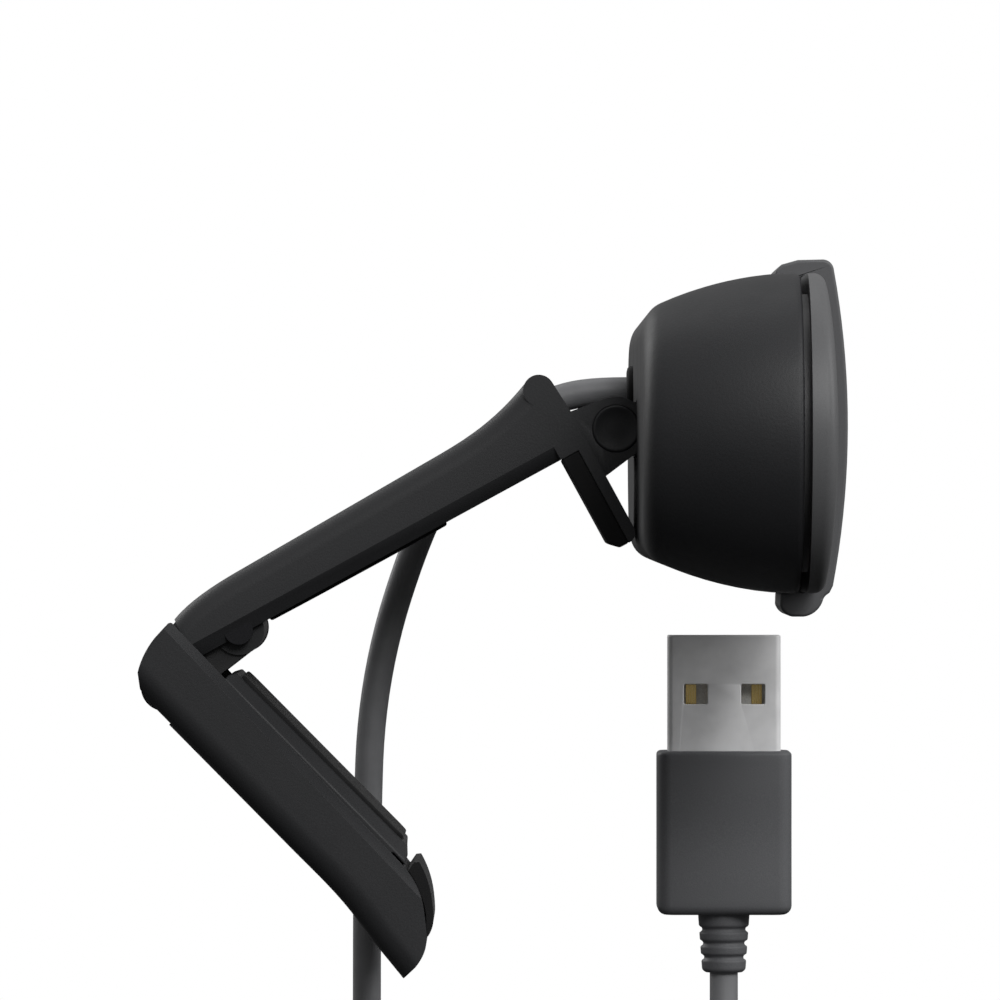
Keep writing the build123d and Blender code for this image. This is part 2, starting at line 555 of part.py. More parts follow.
def electronics():
    """The circuit board and what is soldered or plugged to it."""
    back, front = BOARD_X
    board = block(back, front, 0, HEAD_Z, 2 * BOARD_HALF[0], 2 * BOARD_HALF[1])
    board = fillet(board.edges().filter_by(Axis.X), 4.0)
    for side in (-1, 1):
        board -= stud(back - 1, front + 1, side * POST_Y, HEAD_Z, 1.1)
    add("main_board", board)
    add("board_screws", *[screw(back, side * POST_Y, HEAD_Z, 0.9, 4.2) for side in (-1, 1)])
    add("video_chip", block(back - 0.9, back, -16.0, HEAD_Z - 1.0, 8.0, 8.0))
    add("board_chips", *[
        block(back - depth, back, y, HEAD_Z + h, width, height)
        for y, h, width, height, depth in (
            (-28.0, 3.0, 5.0, 4.0, 0.8), (-4.0, -6.5, 3.0, 3.0, 0.8), (27.0, -3.0, 3.2, 2.5, 0.6),
            (3.0, 6.5, 4.0, 1.6, 0.9), (-40.0, -1.0, 3.0, 5.0, 1.2),
        )
    ])
    cable_z = HEAD_Z + GROMMET_H
    add("lead_connector", block(back - 3.2, back, CABLE_Y, cable_z, 7.5, 4.0))
    inner_x = SHELL_BACK_X + SHELL_BACK_WALL + 0.8
    add("inner_lead", stud(inner_x, back - 3.2, CABLE_Y, cable_z, 1.1))
    add("status_led", block(front, front + 0.6, LED_Y, HEAD_Z, 1.6, 1.2))
    guide = stud(front + 0.6, FACE_X - 0.05, LED_Y, HEAD_Z, 0.98)
    guide += stud(front + 0.6, front + 1.6, LED_Y, HEAD_Z, 1.4)
    add("led_light_guide", guide)
    add("microphone", block(front, front + 1.1, MIC_Y, HEAD_Z, 3.6, 2.8))
    sleeve = stud(front + 1.1, FACE_X - FACE_WALL - 0.05, MIC_Y, HEAD_Z, 1.6)
    add("microphone_sleeve", sleeve - stud(front, FACE_X, MIC_Y, HEAD_Z, 0.6))


def grommet():
    """The rubber bush in the shell's back that the lead leaves through."""
    z = HEAD_Z + GROMMET_H
    bush = stud(GROMMET_X, SHELL_BACK_X, CABLE_Y, z, 2.7)
    bush += stud(SHELL_BACK_X - 0.05, SHELL_BACK_X + SHELL_BACK_WALL, CABLE_Y, z, 2.1)
    bush += stud(SHELL_BACK_X + SHELL_BACK_WALL, SHELL_BACK_X + SHELL_BACK_WALL + 0.8, CABLE_Y, z, 2.7)
    return bush


# ======================================================================== lead
LEAD_DROP_Z = ROW_Z[0]
LEAD_RISE_Z = ROW_Z[-1]
DROP_ROUTE = [
    (GROMMET_X, CABLE_Y, HEAD_Z + GROMMET_H),
    (22.15, CABLE_Y, HEAD_Z + GROMMET_H),
    (18.15, CABLE_Y, 17.15),
    (13.15, CABLE_Y, 14.65),
    (8.75, CABLE_Y, 10.75),
    (5.2, CABLE_Y, 6.2),
    (2.6, CABLE_Y, 0.0),
    (0.0, CABLE_Y, -8.25),
    (-1.52, CABLE_Y, -17.05),
    (-1.85, CABLE_Y, -26.25),
    (-1.93, CABLE_Y, -39.15),
    (-1.95, CABLE_Y, LEAD_DROP_Z + 12.2),
    (-1.95, CABLE_Y - 4.47, LEAD_DROP_Z + 4.47),
    (-1.95, CABLE_Y - 12.2, LEAD_DROP_Z),
    (-1.95, CABLE_Y - 21.1, LEAD_DROP_Z),
]
FLEX_POINTS = 5
RISE_ROUTE = [
    (PLUG_X, CABLE_Y - 21.1, LEAD_RISE_Z),
    (PLUG_X, CABLE_Y - 12.2, LEAD_RISE_Z),
    (PLUG_X, CABLE_Y - 4.47, LEAD_RISE_Z + 4.47),
    (PLUG_X, CABLE_Y, LEAD_RISE_Z + 12.2),
    (PLUG_X, CABLE_Y, LEAD_RISE_Z + 19.0),
]
PLUG_Z = RISE_ROUTE[-1][2]


def tube(name, points, whole=None):
    """The lead along straight runs joined by tangent arcs, and its length.

    Each arc's radius is 0.45 of the shorter run beside it over the tangent of half the turn.
    whole holds the route that the points are cut from, so that a cut run counts in full.
    """
    route = [Vector(*point) for point in (whole or points)]
    spots = [Vector(*point) for point in points]
    radii = []
    for index, spot in enumerate(spots[1:-1], 1):
        here = min(range(len(route)), key=lambda k: (route[k] - spot).length)
        before, after = route[here] - route[here - 1], route[here + 1] - route[here]
        half_turn = math.radians(before.get_angle(after)) / 2
        radii.append(0.45 * min(before.length, after.length) / math.tan(half_turn))
    path = FilletPolyline(*spots, radius=radii)
    start = Plane(origin=path @ 0, z_dir=path % 0)
    solid = sweep(start * Circle(CABLE / 2), path=path)
    expected = math.pi * (CABLE / 2) ** 2 * path.length
    print(f"{name}: length {path.length:.1f}, radii {[round(r, 1) for r in radii]}, "
          f"volume {solid.volume:.1f} of {expected:.1f}")
    return solid, path.length


def lead():
    """The lead from the grommet to the plug: flexing start, drop, tied coil and riser."""
    cut = tuple((a + b) / 2 for a, b in zip(DROP_ROUTE[FLEX_POINTS - 1], DROP_ROUTE[FLEX_POINTS]))
    flex, flex_length = tube("lead_flex", DROP_ROUTE[:FLEX_POINTS] + [cut], DROP_ROUTE)
    drop, drop_length = tube("lead_drop", [cut] + DROP_ROUTE[FLEX_POINTS:], DROP_ROUTE)
    rise, rise_length = tube("lead_rise", RISE_ROUTE)
    left = CABLE_LENGTH - flex_length - drop_length - rise_length
    mean = (COIL_RADII[0] + COIL_RADII[1]) / 2
    print(f"left for the coil {left:.0f}, turns {left / (2 * math.pi * mean):.2f}")
    low = FLOOR_Z + TIE_THICKNESS
    height = ROW_Z[-1] + CABLE / 2 - low
    width = COIL_RADII[1] - COIL_RADII[0]
    section = Plane.XZ * (Pos(mean, low + height / 2) * RectangleRounded(width, height, 2.4))
    coil = Pos(*COIL_CENTRE, 0) * revolve(section, Axis.Z, 360)
    add("lead_flex", flex)
    add("lead_drop", drop)
    add("lead_coil", coil)
    add("lead_rise", rise)
    outer = RectangleRounded(width + 2 * TIE_THICKNESS, height + 2 * TIE_THICKNESS, 2.7)
    inner = RectangleRounded(width, height, 2.3)
    band = extrude(Plane.XZ * (Pos(mean, low + height / 2) * (outer - inner)), 2.5, both=True)
    add("lead_tie", Pos(*COIL_CENTRE, 0) * Rot(0, 0, -32) * band)


def plug():
    """USB-A plug standing on the coil: relief, overmould, metal shell, tongue and contacts."""
    foot = Pos(PLUG_X, CABLE_Y, PLUG_Z)
    relief = foot * Pos(0, 0, RELIEF_HEIGHT / 2) * Cone(2.3, 2.8, RELIEF_HEIGHT)
    for step in range(3):
        groove = Cylinder(4, 0.7) - Cylinder(2.05, 0.7)
        relief -= foot * Pos(0, 0, 1.6 + 1.5 * step) * groove
    low = PLUG_Z + RELIEF_HEIGHT
    body = Pos(PLUG_X, CABLE_Y, low + PLUG_HEIGHT / 2) * Box(PLUG_WIDTH, PLUG_DEPTH, PLUG_HEIGHT)
    body = chamfer(body.edges().filter_by(Axis.Z), 1.3)
    body = fillet(body.faces().sort_by(Axis.Z)[0].edges(), 0.8)
    body = fillet(body.faces().sort_by(Axis.Z)[-1].edges(), 0.4)
    top = low + PLUG_HEIGHT
    hidden = 8.0
    length = USB_LENGTH + hidden
    middle = Pos(PLUG_X, CABLE_Y, top + (USB_LENGTH - hidden) / 2)
    case = RectangleRounded(USB_WIDTH, USB_DEPTH, 0.6)
    bore = RectangleRounded(USB_WIDTH - 2 * USB_WALL, USB_DEPTH - 2 * USB_WALL, 0.3)
    body -= Pos(PLUG_X, CABLE_Y, top - hidden) * extrude(case, hidden + 1)
    metal = Pos(PLUG_X, CABLE_Y, top - hidden) * extrude(case - bore, length)
    tongue_depth = 1.9
    tongue_y = CABLE_Y + USB_DEPTH / 2 - USB_WALL - tongue_depth / 2
    tongue = Pos(PLUG_X, tongue_y, middle.position.Z - 0.25) * Box(
        USB_WIDTH - 2 * USB_WALL - 0.6, tongue_depth, length - 0.5)
    for side in (-1, 1):
        window = Pos(PLUG_X + side * 3.05, CABLE_Y, top + USB_LENGTH - 6.25)
        metal -= window * Box(2.5, USB_DEPTH + 2, 2.1)
    contacts = []
    for x, reach in ((-3.5, 7.8), (-1.05, 6.8), (1.05, 6.8), (3.5, 7.8)):
        face_y = tongue_y - tongue_depth / 2
        contacts.append(
            Pos(PLUG_X + x, face_y - 0.1, top + USB_LENGTH - 1.2 - reach / 2) * Box(1.1, 0.2, reach))
    core = Pos(PLUG_X, CABLE_Y, top - hidden + 1.5) * Box(
        USB_WIDTH - 2 * USB_WALL - 0.6, USB_DEPTH - 2 * USB_WALL, 3.0)
    add("plug_relief", relief)
    add("plug_overmould", body)
    add("plug_shell", metal)
    add("plug_tongue", tongue + core)
    add("plug_contacts", *contacts)


def main():
    """Make every node and write it to its own file."""
    add("clip_arm", clip_arm())
    arm_pieces()
    tilt_hinge()
    clip_link()
    add("foot_shell", foot_shell())
    foot_pieces()
    add("rear_shell", rear_shell())
    add("front_cover", front_cover())
    add("shutter_slider", shutter_slider())
    optics()
    electronics()
    add("lead_grommet", grommet())
    lead()
    plug()
    os.makedirs("parts", exist_ok=True)
    for node, shape in PARTS.items():
        export_step(shape, f"parts/{node}.step")
    for name, spot in (("tilt", TILT_AXIS), ("elbow", ELBOW_AXIS), ("heel", HEEL_AXIS), ("corner", CORNER)):
        print(f"{name} axis at x {spot.X:.3f}, z {spot.Z:.3f}")


main()
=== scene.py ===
"""The looks of a clip-on webcam, its lead and its plug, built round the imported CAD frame."""
import json
import logging
import math
from dataclasses import dataclass, field
from enum import Enum
from typing import Iterable, Protocol, Sequence

import bmesh
import bpy
import numpy as np
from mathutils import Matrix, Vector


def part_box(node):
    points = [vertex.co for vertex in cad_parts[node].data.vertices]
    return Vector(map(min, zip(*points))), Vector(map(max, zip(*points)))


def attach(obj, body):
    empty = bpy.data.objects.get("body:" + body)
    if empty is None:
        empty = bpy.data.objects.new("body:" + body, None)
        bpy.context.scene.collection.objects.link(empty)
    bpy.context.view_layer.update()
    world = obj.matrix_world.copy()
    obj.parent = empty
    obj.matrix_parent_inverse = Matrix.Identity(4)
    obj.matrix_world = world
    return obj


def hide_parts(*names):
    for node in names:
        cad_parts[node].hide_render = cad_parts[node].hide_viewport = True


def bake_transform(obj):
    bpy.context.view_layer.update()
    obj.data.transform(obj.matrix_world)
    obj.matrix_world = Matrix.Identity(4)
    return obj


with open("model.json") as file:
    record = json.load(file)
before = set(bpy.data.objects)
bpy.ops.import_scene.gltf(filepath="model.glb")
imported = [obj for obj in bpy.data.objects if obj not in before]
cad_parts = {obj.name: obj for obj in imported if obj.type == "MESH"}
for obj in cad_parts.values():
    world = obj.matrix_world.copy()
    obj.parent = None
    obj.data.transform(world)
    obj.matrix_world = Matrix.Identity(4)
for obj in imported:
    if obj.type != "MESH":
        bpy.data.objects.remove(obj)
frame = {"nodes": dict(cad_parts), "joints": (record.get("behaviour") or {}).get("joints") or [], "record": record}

LOG = logging.getLogger("webcam")
MM = 0.001
COIL_CENTRE = (21.65, -1.0)  # the wound lead's axis, in millimetres
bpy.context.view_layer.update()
Triple = tuple[float, float, float]


# ------------------------------------------------------------------ places taken from the frame
def mount(name: str) -> dict:
    """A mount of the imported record."""
    return next(m for m in frame["record"]["mounts"] if m["name"] == name)


def joint(name: str) -> dict:
    """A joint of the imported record."""
    return next(j for j in frame["joints"] if j["name"] == name)


def corners(node: str) -> np.ndarray:
    """All of a CAD node's points.

    Args:
        node: the CAD node.

    Returns:
        One point to a row, in metres.
    """
    mesh = frame["nodes"][node].data
    points = np.zeros(len(mesh.vertices) * 3, np.float32)
    mesh.vertices.foreach_get("co", points)
    return points.reshape(-1, 3).astype(float)


@dataclass(frozen=True)
class Site:
    """A local frame: an origin and three unit directions, in the model's frame.

    Args:
        origin: where the local origin lies, in metres.
        along: the first direction.
        out: the third direction, which faces out of the piece.
    """

    origin: np.ndarray
    along: np.ndarray
    out: np.ndarray

    def axes(self) -> np.ndarray:
        """The three directions as rows; the second is out crossed with along."""
        along = self.along / np.linalg.norm(self.along)
        out = self.out / np.linalg.norm(self.out)
        return np.array([along, np.cross(out, along), out])

    def place(self, local: np.ndarray) -> np.ndarray:
        """Local points as points of the model."""
        return local @ self.axes() + self.origin

    def extent(self, node: str) -> tuple[np.ndarray, np.ndarray]:
        """A CAD node's lowest and highest corner, measured along the local directions."""
        local = (corners(node) - self.origin) @ self.axes().T
        return local.min(0), local.max(0)


# ------------------------------------------------------------------ finishes
class Wiring:
    """A material under construction: adds nodes and joins them."""

    def __init__(self, name: str) -> None:
        """Start an empty material with one Principled shader."""
        self.material = bpy.data.materials.new(name)
        self.material.use_nodes = True
        self.tree = self.material.node_tree
        self.shader = self.tree.nodes["Principled BSDF"]
        self.coords = self.add("ShaderNodeTexCoord")

    def add(self, kind: str, **values: object) -> bpy.types.Node:
        """Add a node.

        Args:
            kind: the node's type.
            values: its properties or, failing that, its inputs, by name.

        Returns:
            The node.
        """
        node = self.tree.nodes.new(kind)
        for key, value in values.items():
            if hasattr(node, key):
                setattr(node, key, value)
            else:
                node.inputs[key.replace("_", " ")].default_value = value
        return node

    def join(self, source: bpy.types.NodeSocket, target: bpy.types.NodeSocket) -> None:
        """Join an output to an input."""
        self.tree.links.new(source, target)

    def noise(self, size: float, detail: float = 3.0, stretch: Triple = (1, 1, 1)) -> bpy.types.NodeSocket:
        """Cloudy noise on Object coordinates.

        Args:
            size: the width of one feature, in metres.
            detail: how many finer layers it has.
            stretch: how many times longer a feature is along each axis.

        Returns:
            The noise's value, between 0 and 1.
        """
        mapping = self.add("ShaderNodeMapping")
        mapping.inputs["Scale"].default_value = [1 / (size * times) for times in stretch]
        texture = self.add("ShaderNodeTexNoise", Scale=1.0, Detail=detail, Roughness=0.55)
        self.join(self.coords.outputs["Object"], mapping.inputs["Vector"])
        self.join(mapping.outputs["Vector"], texture.inputs["Vector"])
        return texture.outputs["Fac"]

    def ramp(self, value: bpy.types.NodeSocket, stops: Sequence[tuple[float, Triple]]) -> bpy.types.NodeSocket:
        """Colours along a value.

        Args:
            value: what the colours follow.
            stops: each a position and a linear colour.

        Returns:
            The colour.
        """
        node = self.add("ShaderNodeValToRGB")
        elements = node.color_ramp.elements
        while len(elements) < len(stops):
            elements.new(0.5)
        for element, (position, colour) in zip(elements, stops):
            element.position = position
            element.color = (*colour, 1.0)
        self.join(value, node.inputs["Fac"])
        return node.outputs["Color"]

    def spread(self, value: bpy.types.NodeSocket, low: float, high: float) -> bpy.types.NodeSocket:
        """A value from 0.3 to 0.7, which is where noise lies, carried onto another range.

        Args:
            value: the noise.
            low: what 0.3 becomes.
            high: what 0.7 becomes.

        Returns:
            The value on its new range.
        """
        node = self.add("ShaderNodeMapRange", From_Min=0.3, From_Max=0.7, To_Min=low, To_Max=high)
        self.join(value, node.inputs["Value"])
        return node.outputs["Result"]

    def relief(self, layers: Iterable[tuple[bpy.types.NodeSocket, float]]) -> None:
        """Stacked bumps on the shader.

        Args:
            layers: each a height and its depth in metres, the broadest first.
        """
        normal = None
        for height, depth in layers:
            bump = self.add("ShaderNodeBump", Strength=1.0, Distance=depth)
            self.join(height, bump.inputs["Height"])
            if normal is not None:
                self.join(normal, bump.inputs["Normal"])
            normal = bump.outputs["Normal"]
        self.join(normal, self.shader.inputs["Normal"])

    def set(self, **values: object) -> None:
        """Set the shader's own inputs; an underscore stands for a space."""
        for key, value in values.items():
            self.shader.inputs[key.replace("_", " ")].default_value = value


class Finish(Protocol):
    """Anything that can make a material."""

    name: str

    def make(self) -> bpy.types.Material:
        """Build the material."""


def tinted(colour: Triple, factor: float) -> Triple:
    """A colour made lighter or darker."""
    return tuple(min(1.0, channel * factor) for channel in colour)


@dataclass(frozen=True)
class MouldedPlastic:
    """Injection-moulded plastic with a spark-eroded grain, slightly polished by handling.

    Args:
        name: the material's name.
        colour: its linear colour.
        rough: its middle roughness.
        grain: the width of one grain of the texture, in metres.
        depth: the grain's depth, in metres.
        specular: how strongly it reflects at right angles, 0.5 for plain plastic.
    """

    name: str
    colour: Triple
    rough: float = 0.5
    grain: float = 0.26 * MM
    depth: float = 0.012 * MM
    specular: float = 0.4

    def make(self) -> bpy.types.Material:
        """Flecks of tint finer than the grain, roughness that clouds slowly, and the grain's bump."""
        wiring = Wiring(self.name)
        cloud = wiring.noise(5 * MM, 3.0)
        grain = wiring.noise(self.grain, 2.0)
        fleck = wiring.noise(0.5 * self.grain, 1.0)
        wiring.join(wiring.ramp(fleck, [
            (0.30, tinted(self.colour, 0.90)), (0.52, self.colour), (0.74, tinted(self.colour, 1.12)),
        ]), wiring.shader.inputs["Base Color"])
        wiring.join(
            wiring.spread(cloud, self.rough - 0.03, self.rough + 0.04), wiring.shader.inputs["Roughness"])
        wiring.relief([(grain, self.depth)])
        wiring.set(IOR=1.48, Specular_IOR_Level=self.specular)
        return wiring.material


@dataclass(frozen=True)
class SoftRubber:
    """Black rubber with a dull bloom and, if asked, fine moulded ribs across it."""

    name: str
    colour: Triple
    rough: float = 0.78
    rib: float = 0.0
    rib_axis: str = "X"

    def make(self) -> bpy.types.Material:
        """A dusty bloom over a fine matt skin; ribs are a sine along one axis of the piece."""
        wiring = Wiring(self.name)
        bloom = wiring.noise(4 * MM, 5.0)
        skin = wiring.noise(0.12 * MM, 2.0)
        wiring.join(wiring.ramp(bloom, [
            (0.34, tinted(self.colour, 0.8)), (0.60, self.colour), (0.78, tinted(self.colour, 1.5)),
        ]), wiring.shader.inputs["Base Color"])
        wiring.join(
            wiring.spread(bloom, self.rough - 0.07, self.rough + 0.09), wiring.shader.inputs["Roughness"])
        layers = [(skin, 0.008 * MM)]
        if self.rib:
            wave = wiring.add(
                "ShaderNodeTexWave", wave_type="BANDS", bands_direction=self.rib_axis, Scale=1.0)
            mapping = wiring.add("ShaderNodeMapping")
            mapping.inputs["Scale"].default_value = [math.pi / (10 * self.rib)] * 3
            wiring.join(wiring.coords.outputs["Object"], mapping.inputs["Vector"])
            wiring.join(mapping.outputs["Vector"], wave.inputs["Vector"])
            layers.insert(0, (wave.outputs["Fac"], 0.12 * MM))
        wiring.relief(layers)
        wiring.set(Specular_IOR_Level=0.32, Sheen_Weight=0.08, Sheen_Roughness=0.5)
        return wiring.material


@dataclass(frozen=True)
class CableJacket:
    """Extruded thermoplastic: satin, with faint drawing lines along the lead."""

    name: str
    colour: Triple

    def make(self) -> bpy.types.Material:
        """Lines and mottling on the tube's own UV map, u along the lead and v round it."""
        wiring = Wiring(self.name)
        uv = wiring.add("ShaderNodeUVMap", uv_map="run")
        lines = wiring.add("ShaderNodeMapping")
        lines.inputs["Scale"].default_value = (6.0, 46.0, 1.0)
        drawn = wiring.add("ShaderNodeTexNoise", Scale=1.0, Detail=2.0)
        wiring.join(uv.outputs["UV"], lines.inputs["Vector"])
        wiring.join(lines.outputs["Vector"], drawn.inputs["Vector"])
        mottle = wiring.noise(2.4 * MM, 3.0)
        wiring.join(wiring.ramp(mottle, [
            (0.32, tinted(self.colour, 0.93)), (0.52, self.colour), (0.72, tinted(self.colour, 1.06)),
        ]), wiring.shader.inputs["Base Color"])
        wiring.join(wiring.spread(drawn.outputs["Fac"], 0.42, 0.52), wiring.shader.inputs["Roughness"])
        wiring.relief([(mottle, 0.03 * MM), (drawn.outputs["Fac"], 0.012 * MM)])
        wiring.set(Specular_IOR_Level=0.42)
        return wiring.material


class Lay(Enum):
    """The way a metal's brush marks run."""

    ALONG_Y = (1.0, 30.0, 1.0)
    ALONG_Z = (1.0, 1.0, 30.0)


@dataclass(frozen=True)
class PlatedMetal:
    """Plated sheet or bar with fine brush marks and a few duller patches."""

    name: str
    colour: Triple
    rough: float = 0.3
    lay: Lay = Lay.ALONG_Z
    metal: float = 1.0

    def make(self) -> bpy.types.Material:
        """Long thin noise for the marks, broad noise for the patches."""
        wiring = Wiring(self.name)
        marks = wiring.noise(0.07 * MM, 2.0, self.lay.value)
        patches = wiring.noise(3.5 * MM, 3.0)
        wiring.join(wiring.ramp(patches, [
            (0.3, tinted(self.colour, 0.9)), (0.55, self.colour), (0.75, tinted(self.colour, 1.04)),
        ]), wiring.shader.inputs["Base Color"])
        wiring.join(
            wiring.spread(marks, self.rough - 0.06, self.rough + 0.1), wiring.shader.inputs["Roughness"])
        wiring.relief([(marks, 0.0035 * MM)])
        wiring.set(Metallic=self.metal)
        return wiring.material


@dataclass(frozen=True)
class GlossPlastic:
    """Polished plastic or glass: a deep colour under a clear coat, with a trace of polish marks."""

    name: str
    colour: Triple
    rough: float = 0.08
    clear: float = 0.0
    index: float = 1.5

    def make(self) -> bpy.types.Material:
        """Nearly even colour, faint swirls in the roughness, and light let through if clear."""
        wiring = Wiring(self.name)
        swirl = wiring.noise(1.6 * MM, 4.0)
        wiring.join(wiring.ramp(swirl, [
            (0.35, tinted(self.colour, 0.9)), (0.7, tinted(self.colour, 1.1)),
        ]), wiring.shader.inputs["Base Color"])
        wiring.join(
            wiring.spread(swirl, max(0.01, self.rough - 0.02), self.rough + 0.03),
            wiring.shader.inputs["Roughness"])
        wiring.set(IOR=self.index, Transmission_Weight=self.clear, Coat_Weight=0.6, Coat_Roughness=0.03)
        return wiring.material


@dataclass(frozen=True)
class CircuitBoard:
    """Green solder mask over copper tracks."""

    name: str
    colour: Triple

    def make(self) -> bpy.types.Material:
        """Tracks are the cell edges of a square Voronoi pattern, seen lighter through the mask."""
        wiring = Wiring(self.name)
        cells = wiring.add("ShaderNodeTexVoronoi", distance="CHEBYCHEV", Scale=1 / (1.6 * MM))
        wiring.join(wiring.coords.outputs["Object"], cells.inputs["Vector"])
        wiring.join(wiring.ramp(cells.outputs["Distance"], [
            (0.42, self.colour), (0.46, tinted(self.colour, 2.2)), (0.52, tinted(self.colour, 1.2)),
        ]), wiring.shader.inputs["Base Color"])
        wiring.relief([(cells.outputs["Distance"], 0.02 * MM)])
        wiring.set(Roughness=0.35, Coat_Weight=0.3)
        return wiring.material


SHELL = MouldedPlastic("shell_plastic", (0.021, 0.0215, 0.0235), 0.52, 0.30 * MM, 0.016 * MM)
BEZEL = MouldedPlastic("bezel_plastic", (0.115, 0.116, 0.119), 0.46, 0.16 * MM, 0.005 * MM)
SLIDER = MouldedPlastic("shutter_plastic", (0.110, 0.111, 0.115), 0.44, 0.16 * MM, 0.005 * MM)
CLIP = MouldedPlastic("clip_plastic", (0.030, 0.0305, 0.0325), 0.5, 0.24 * MM, 0.012 * MM)
HINGE = MouldedPlastic("hinge_plastic", (0.012, 0.012, 0.013), 0.42, 0.2 * MM, 0.006 * MM)
PIN = MouldedPlastic("pin_plastic", (0.017, 0.0175, 0.019), 0.5, 0.3 * MM, 0.006 * MM)
OVERMOULD = MouldedPlastic("overmould_plastic", (0.115, 0.117, 0.123), 0.52, 0.2 * MM, 0.008 * MM)
TONGUE = MouldedPlastic("insulator_plastic", (0.80, 0.80, 0.78), 0.4, 0.3 * MM, 0.003 * MM)
CHIP = MouldedPlastic("chip_epoxy", (0.015, 0.015, 0.017), 0.6, 0.1 * MM, 0.004 * MM)
PAD = SoftRubber("pad_rubber", (0.0075, 0.0075, 0.008))
RIBBED_PAD = SoftRubber("ribbed_pad_rubber", (0.0085, 0.0085, 0.009), 0.8, 1.1 * MM, "Y")
BAND = SoftRubber("tie_band", (0.012, 0.012, 0.013), 0.85, 0.7 * MM, "Z")
JACKET = CableJacket("lead_jacket", (0.205, 0.207, 0.214))
STEEL = PlatedMetal("zinc_steel", (0.55, 0.55, 0.56), 0.34, Lay.ALONG_Y)
DARK_STEEL = PlatedMetal("black_oxide", (0.035, 0.035, 0.038), 0.4, Lay.ALONG_Y)
# The plug shell is nearly matt (metallic 0.1) with a pale base. That is the plating's own light tone plus a
# painted reflection: an even brightness standing in for the white surroundings it mirrors.
PLUG_METAL = PlatedMetal("nickel_shell", (0.90, 0.90, 0.905), 0.42, Lay.ALONG_Z, 0.1)
GOLD = PlatedMetal("gold_flash", (0.83, 0.62, 0.25), 0.25, Lay.ALONG_Z)
LENS_BLACK = GlossPlastic("lens_black", (0.006, 0.006, 0.007), 0.12)
LENS_GLASS = GlossPlastic("coated_glass", (0.80, 0.86, 0.92), 0.03, 0.94, 1.52)
LIGHT_GUIDE = GlossPlastic("light_guide", (0.72, 0.73, 0.75), 0.3, 0.35, 1.49)
MASK = CircuitBoard("solder_mask", (0.012, 0.075, 0.035))


class Palette:
    """Makes each finish once and hands it out again."""

    def __init__(self) -> None:
        """Start with nothing made."""
        self._made: dict[str, bpy.types.Material] = {}

    def __getitem__(self, finish: Finish) -> bpy.types.Material:
        """The finish's material."""
        if finish.name not in self._made:
            self._made[finish.name] = finish.make()
        return self._made[finish.name]

    def dress(self, node: str, finish: Finish) -> None:
        """Give a CAD node a finish through its object's material slots."""
        piece = frame["nodes"][node]
        if not piece.material_slots:
            piece.data.materials.append(None)
        for place in piece.material_slots:
            place.link = "OBJECT"
            place.material = self[finish]
        LOG.info("%s: %s", node, finish.name)


# ------------------------------------------------------------------ surfaces
def mesh_from_grid(
    name: str, grid: np.ndarray, finish: bpy.types.Material, round_v: bool = True, ends: bool = True,
    uv_size: tuple[float, float] | None = None, sharp: float = 40.0,
) -> bpy.types.Object:
    """A mesh whose faces join neighbours in a grid of points.

    Args:
        name: the new object's name.
        grid: points by row and column, three numbers each, in metres.
        finish: its material.
        round_v: whether the last column joins the first.
        ends: whether the first and last rows are closed by a face each.
        uv_size: if given, the lengths in metres that u and v run over, kept in a UV map.
        sharp: the angle in degrees past which an edge is shaded sharp.

    Returns:
        The object, linked to the scene, with faces pointing outwards.
    """
    rows, columns = grid.shape[:2]
    index = np.arange(rows * columns).reshape(rows, columns)
    following = np.roll(index, -1, axis=1) if round_v else index[:, 1:]
    kept = index if round_v else index[:, :-1]
    quads = np.stack([kept[:-1], following[:-1], following[1:], kept[1:]], axis=-1).reshape(-1, 4)
    faces: list[list[int]] = quads.tolist()
    if ends and round_v:
        faces += [index[0, ::-1].tolist(), index[-1].tolist()]
    mesh = bpy.data.meshes.new(name)
    mesh.from_pydata(grid.reshape(-1, 3), [], faces)
    if uv_size:
        layer = mesh.uv_layers.new(name="run")
        u = np.linspace(0, uv_size[0], rows) / MM * 0.1
        v = np.arange(columns + 1) / columns
        count = len(quads) // (rows - 1)
        across = np.stack([v[:count], v[1:count + 1], v[1:count + 1], v[:count]], -1)
        pairs = np.zeros((rows - 1, count, 4, 2))
        pairs[..., 1] = across
        pairs[..., :2, 0] = u[:-1, None, None]
        pairs[..., 2:, 0] = u[1:, None, None]
        flat = np.zeros(len(mesh.loops) * 2)
        flat[:pairs.size] = pairs.ravel()
        layer.data.foreach_set("uv", flat.astype(np.float32))
    mesh.materials.append(finish)
    return finished(name, mesh, sharp)


def finished(name: str, mesh: bpy.types.Mesh, sharp: float) -> bpy.types.Object:
    """Close seams, point the faces outwards, shade smooth, and link the object.

    Args:
        name: the object's name.
        mesh: its mesh.
        sharp: the angle in degrees past which an edge is shaded sharp.

    Returns:
        The object, linked to the scene.
    """
    work = bmesh.new()
    work.from_mesh(mesh)
    bmesh.ops.remove_doubles(work, verts=work.verts, dist=1e-7)
    bmesh.ops.dissolve_degenerate(work, edges=work.edges, dist=1e-8)
    bmesh.ops.recalc_face_normals(work, faces=work.faces)
    work.to_mesh(mesh)
    work.free()
    mesh.shade_smooth()
    mesh.set_sharp_from_angle(angle=math.radians(sharp))
    piece = bpy.data.objects.new(name, mesh)
    bpy.context.scene.collection.objects.link(piece)
    return piece


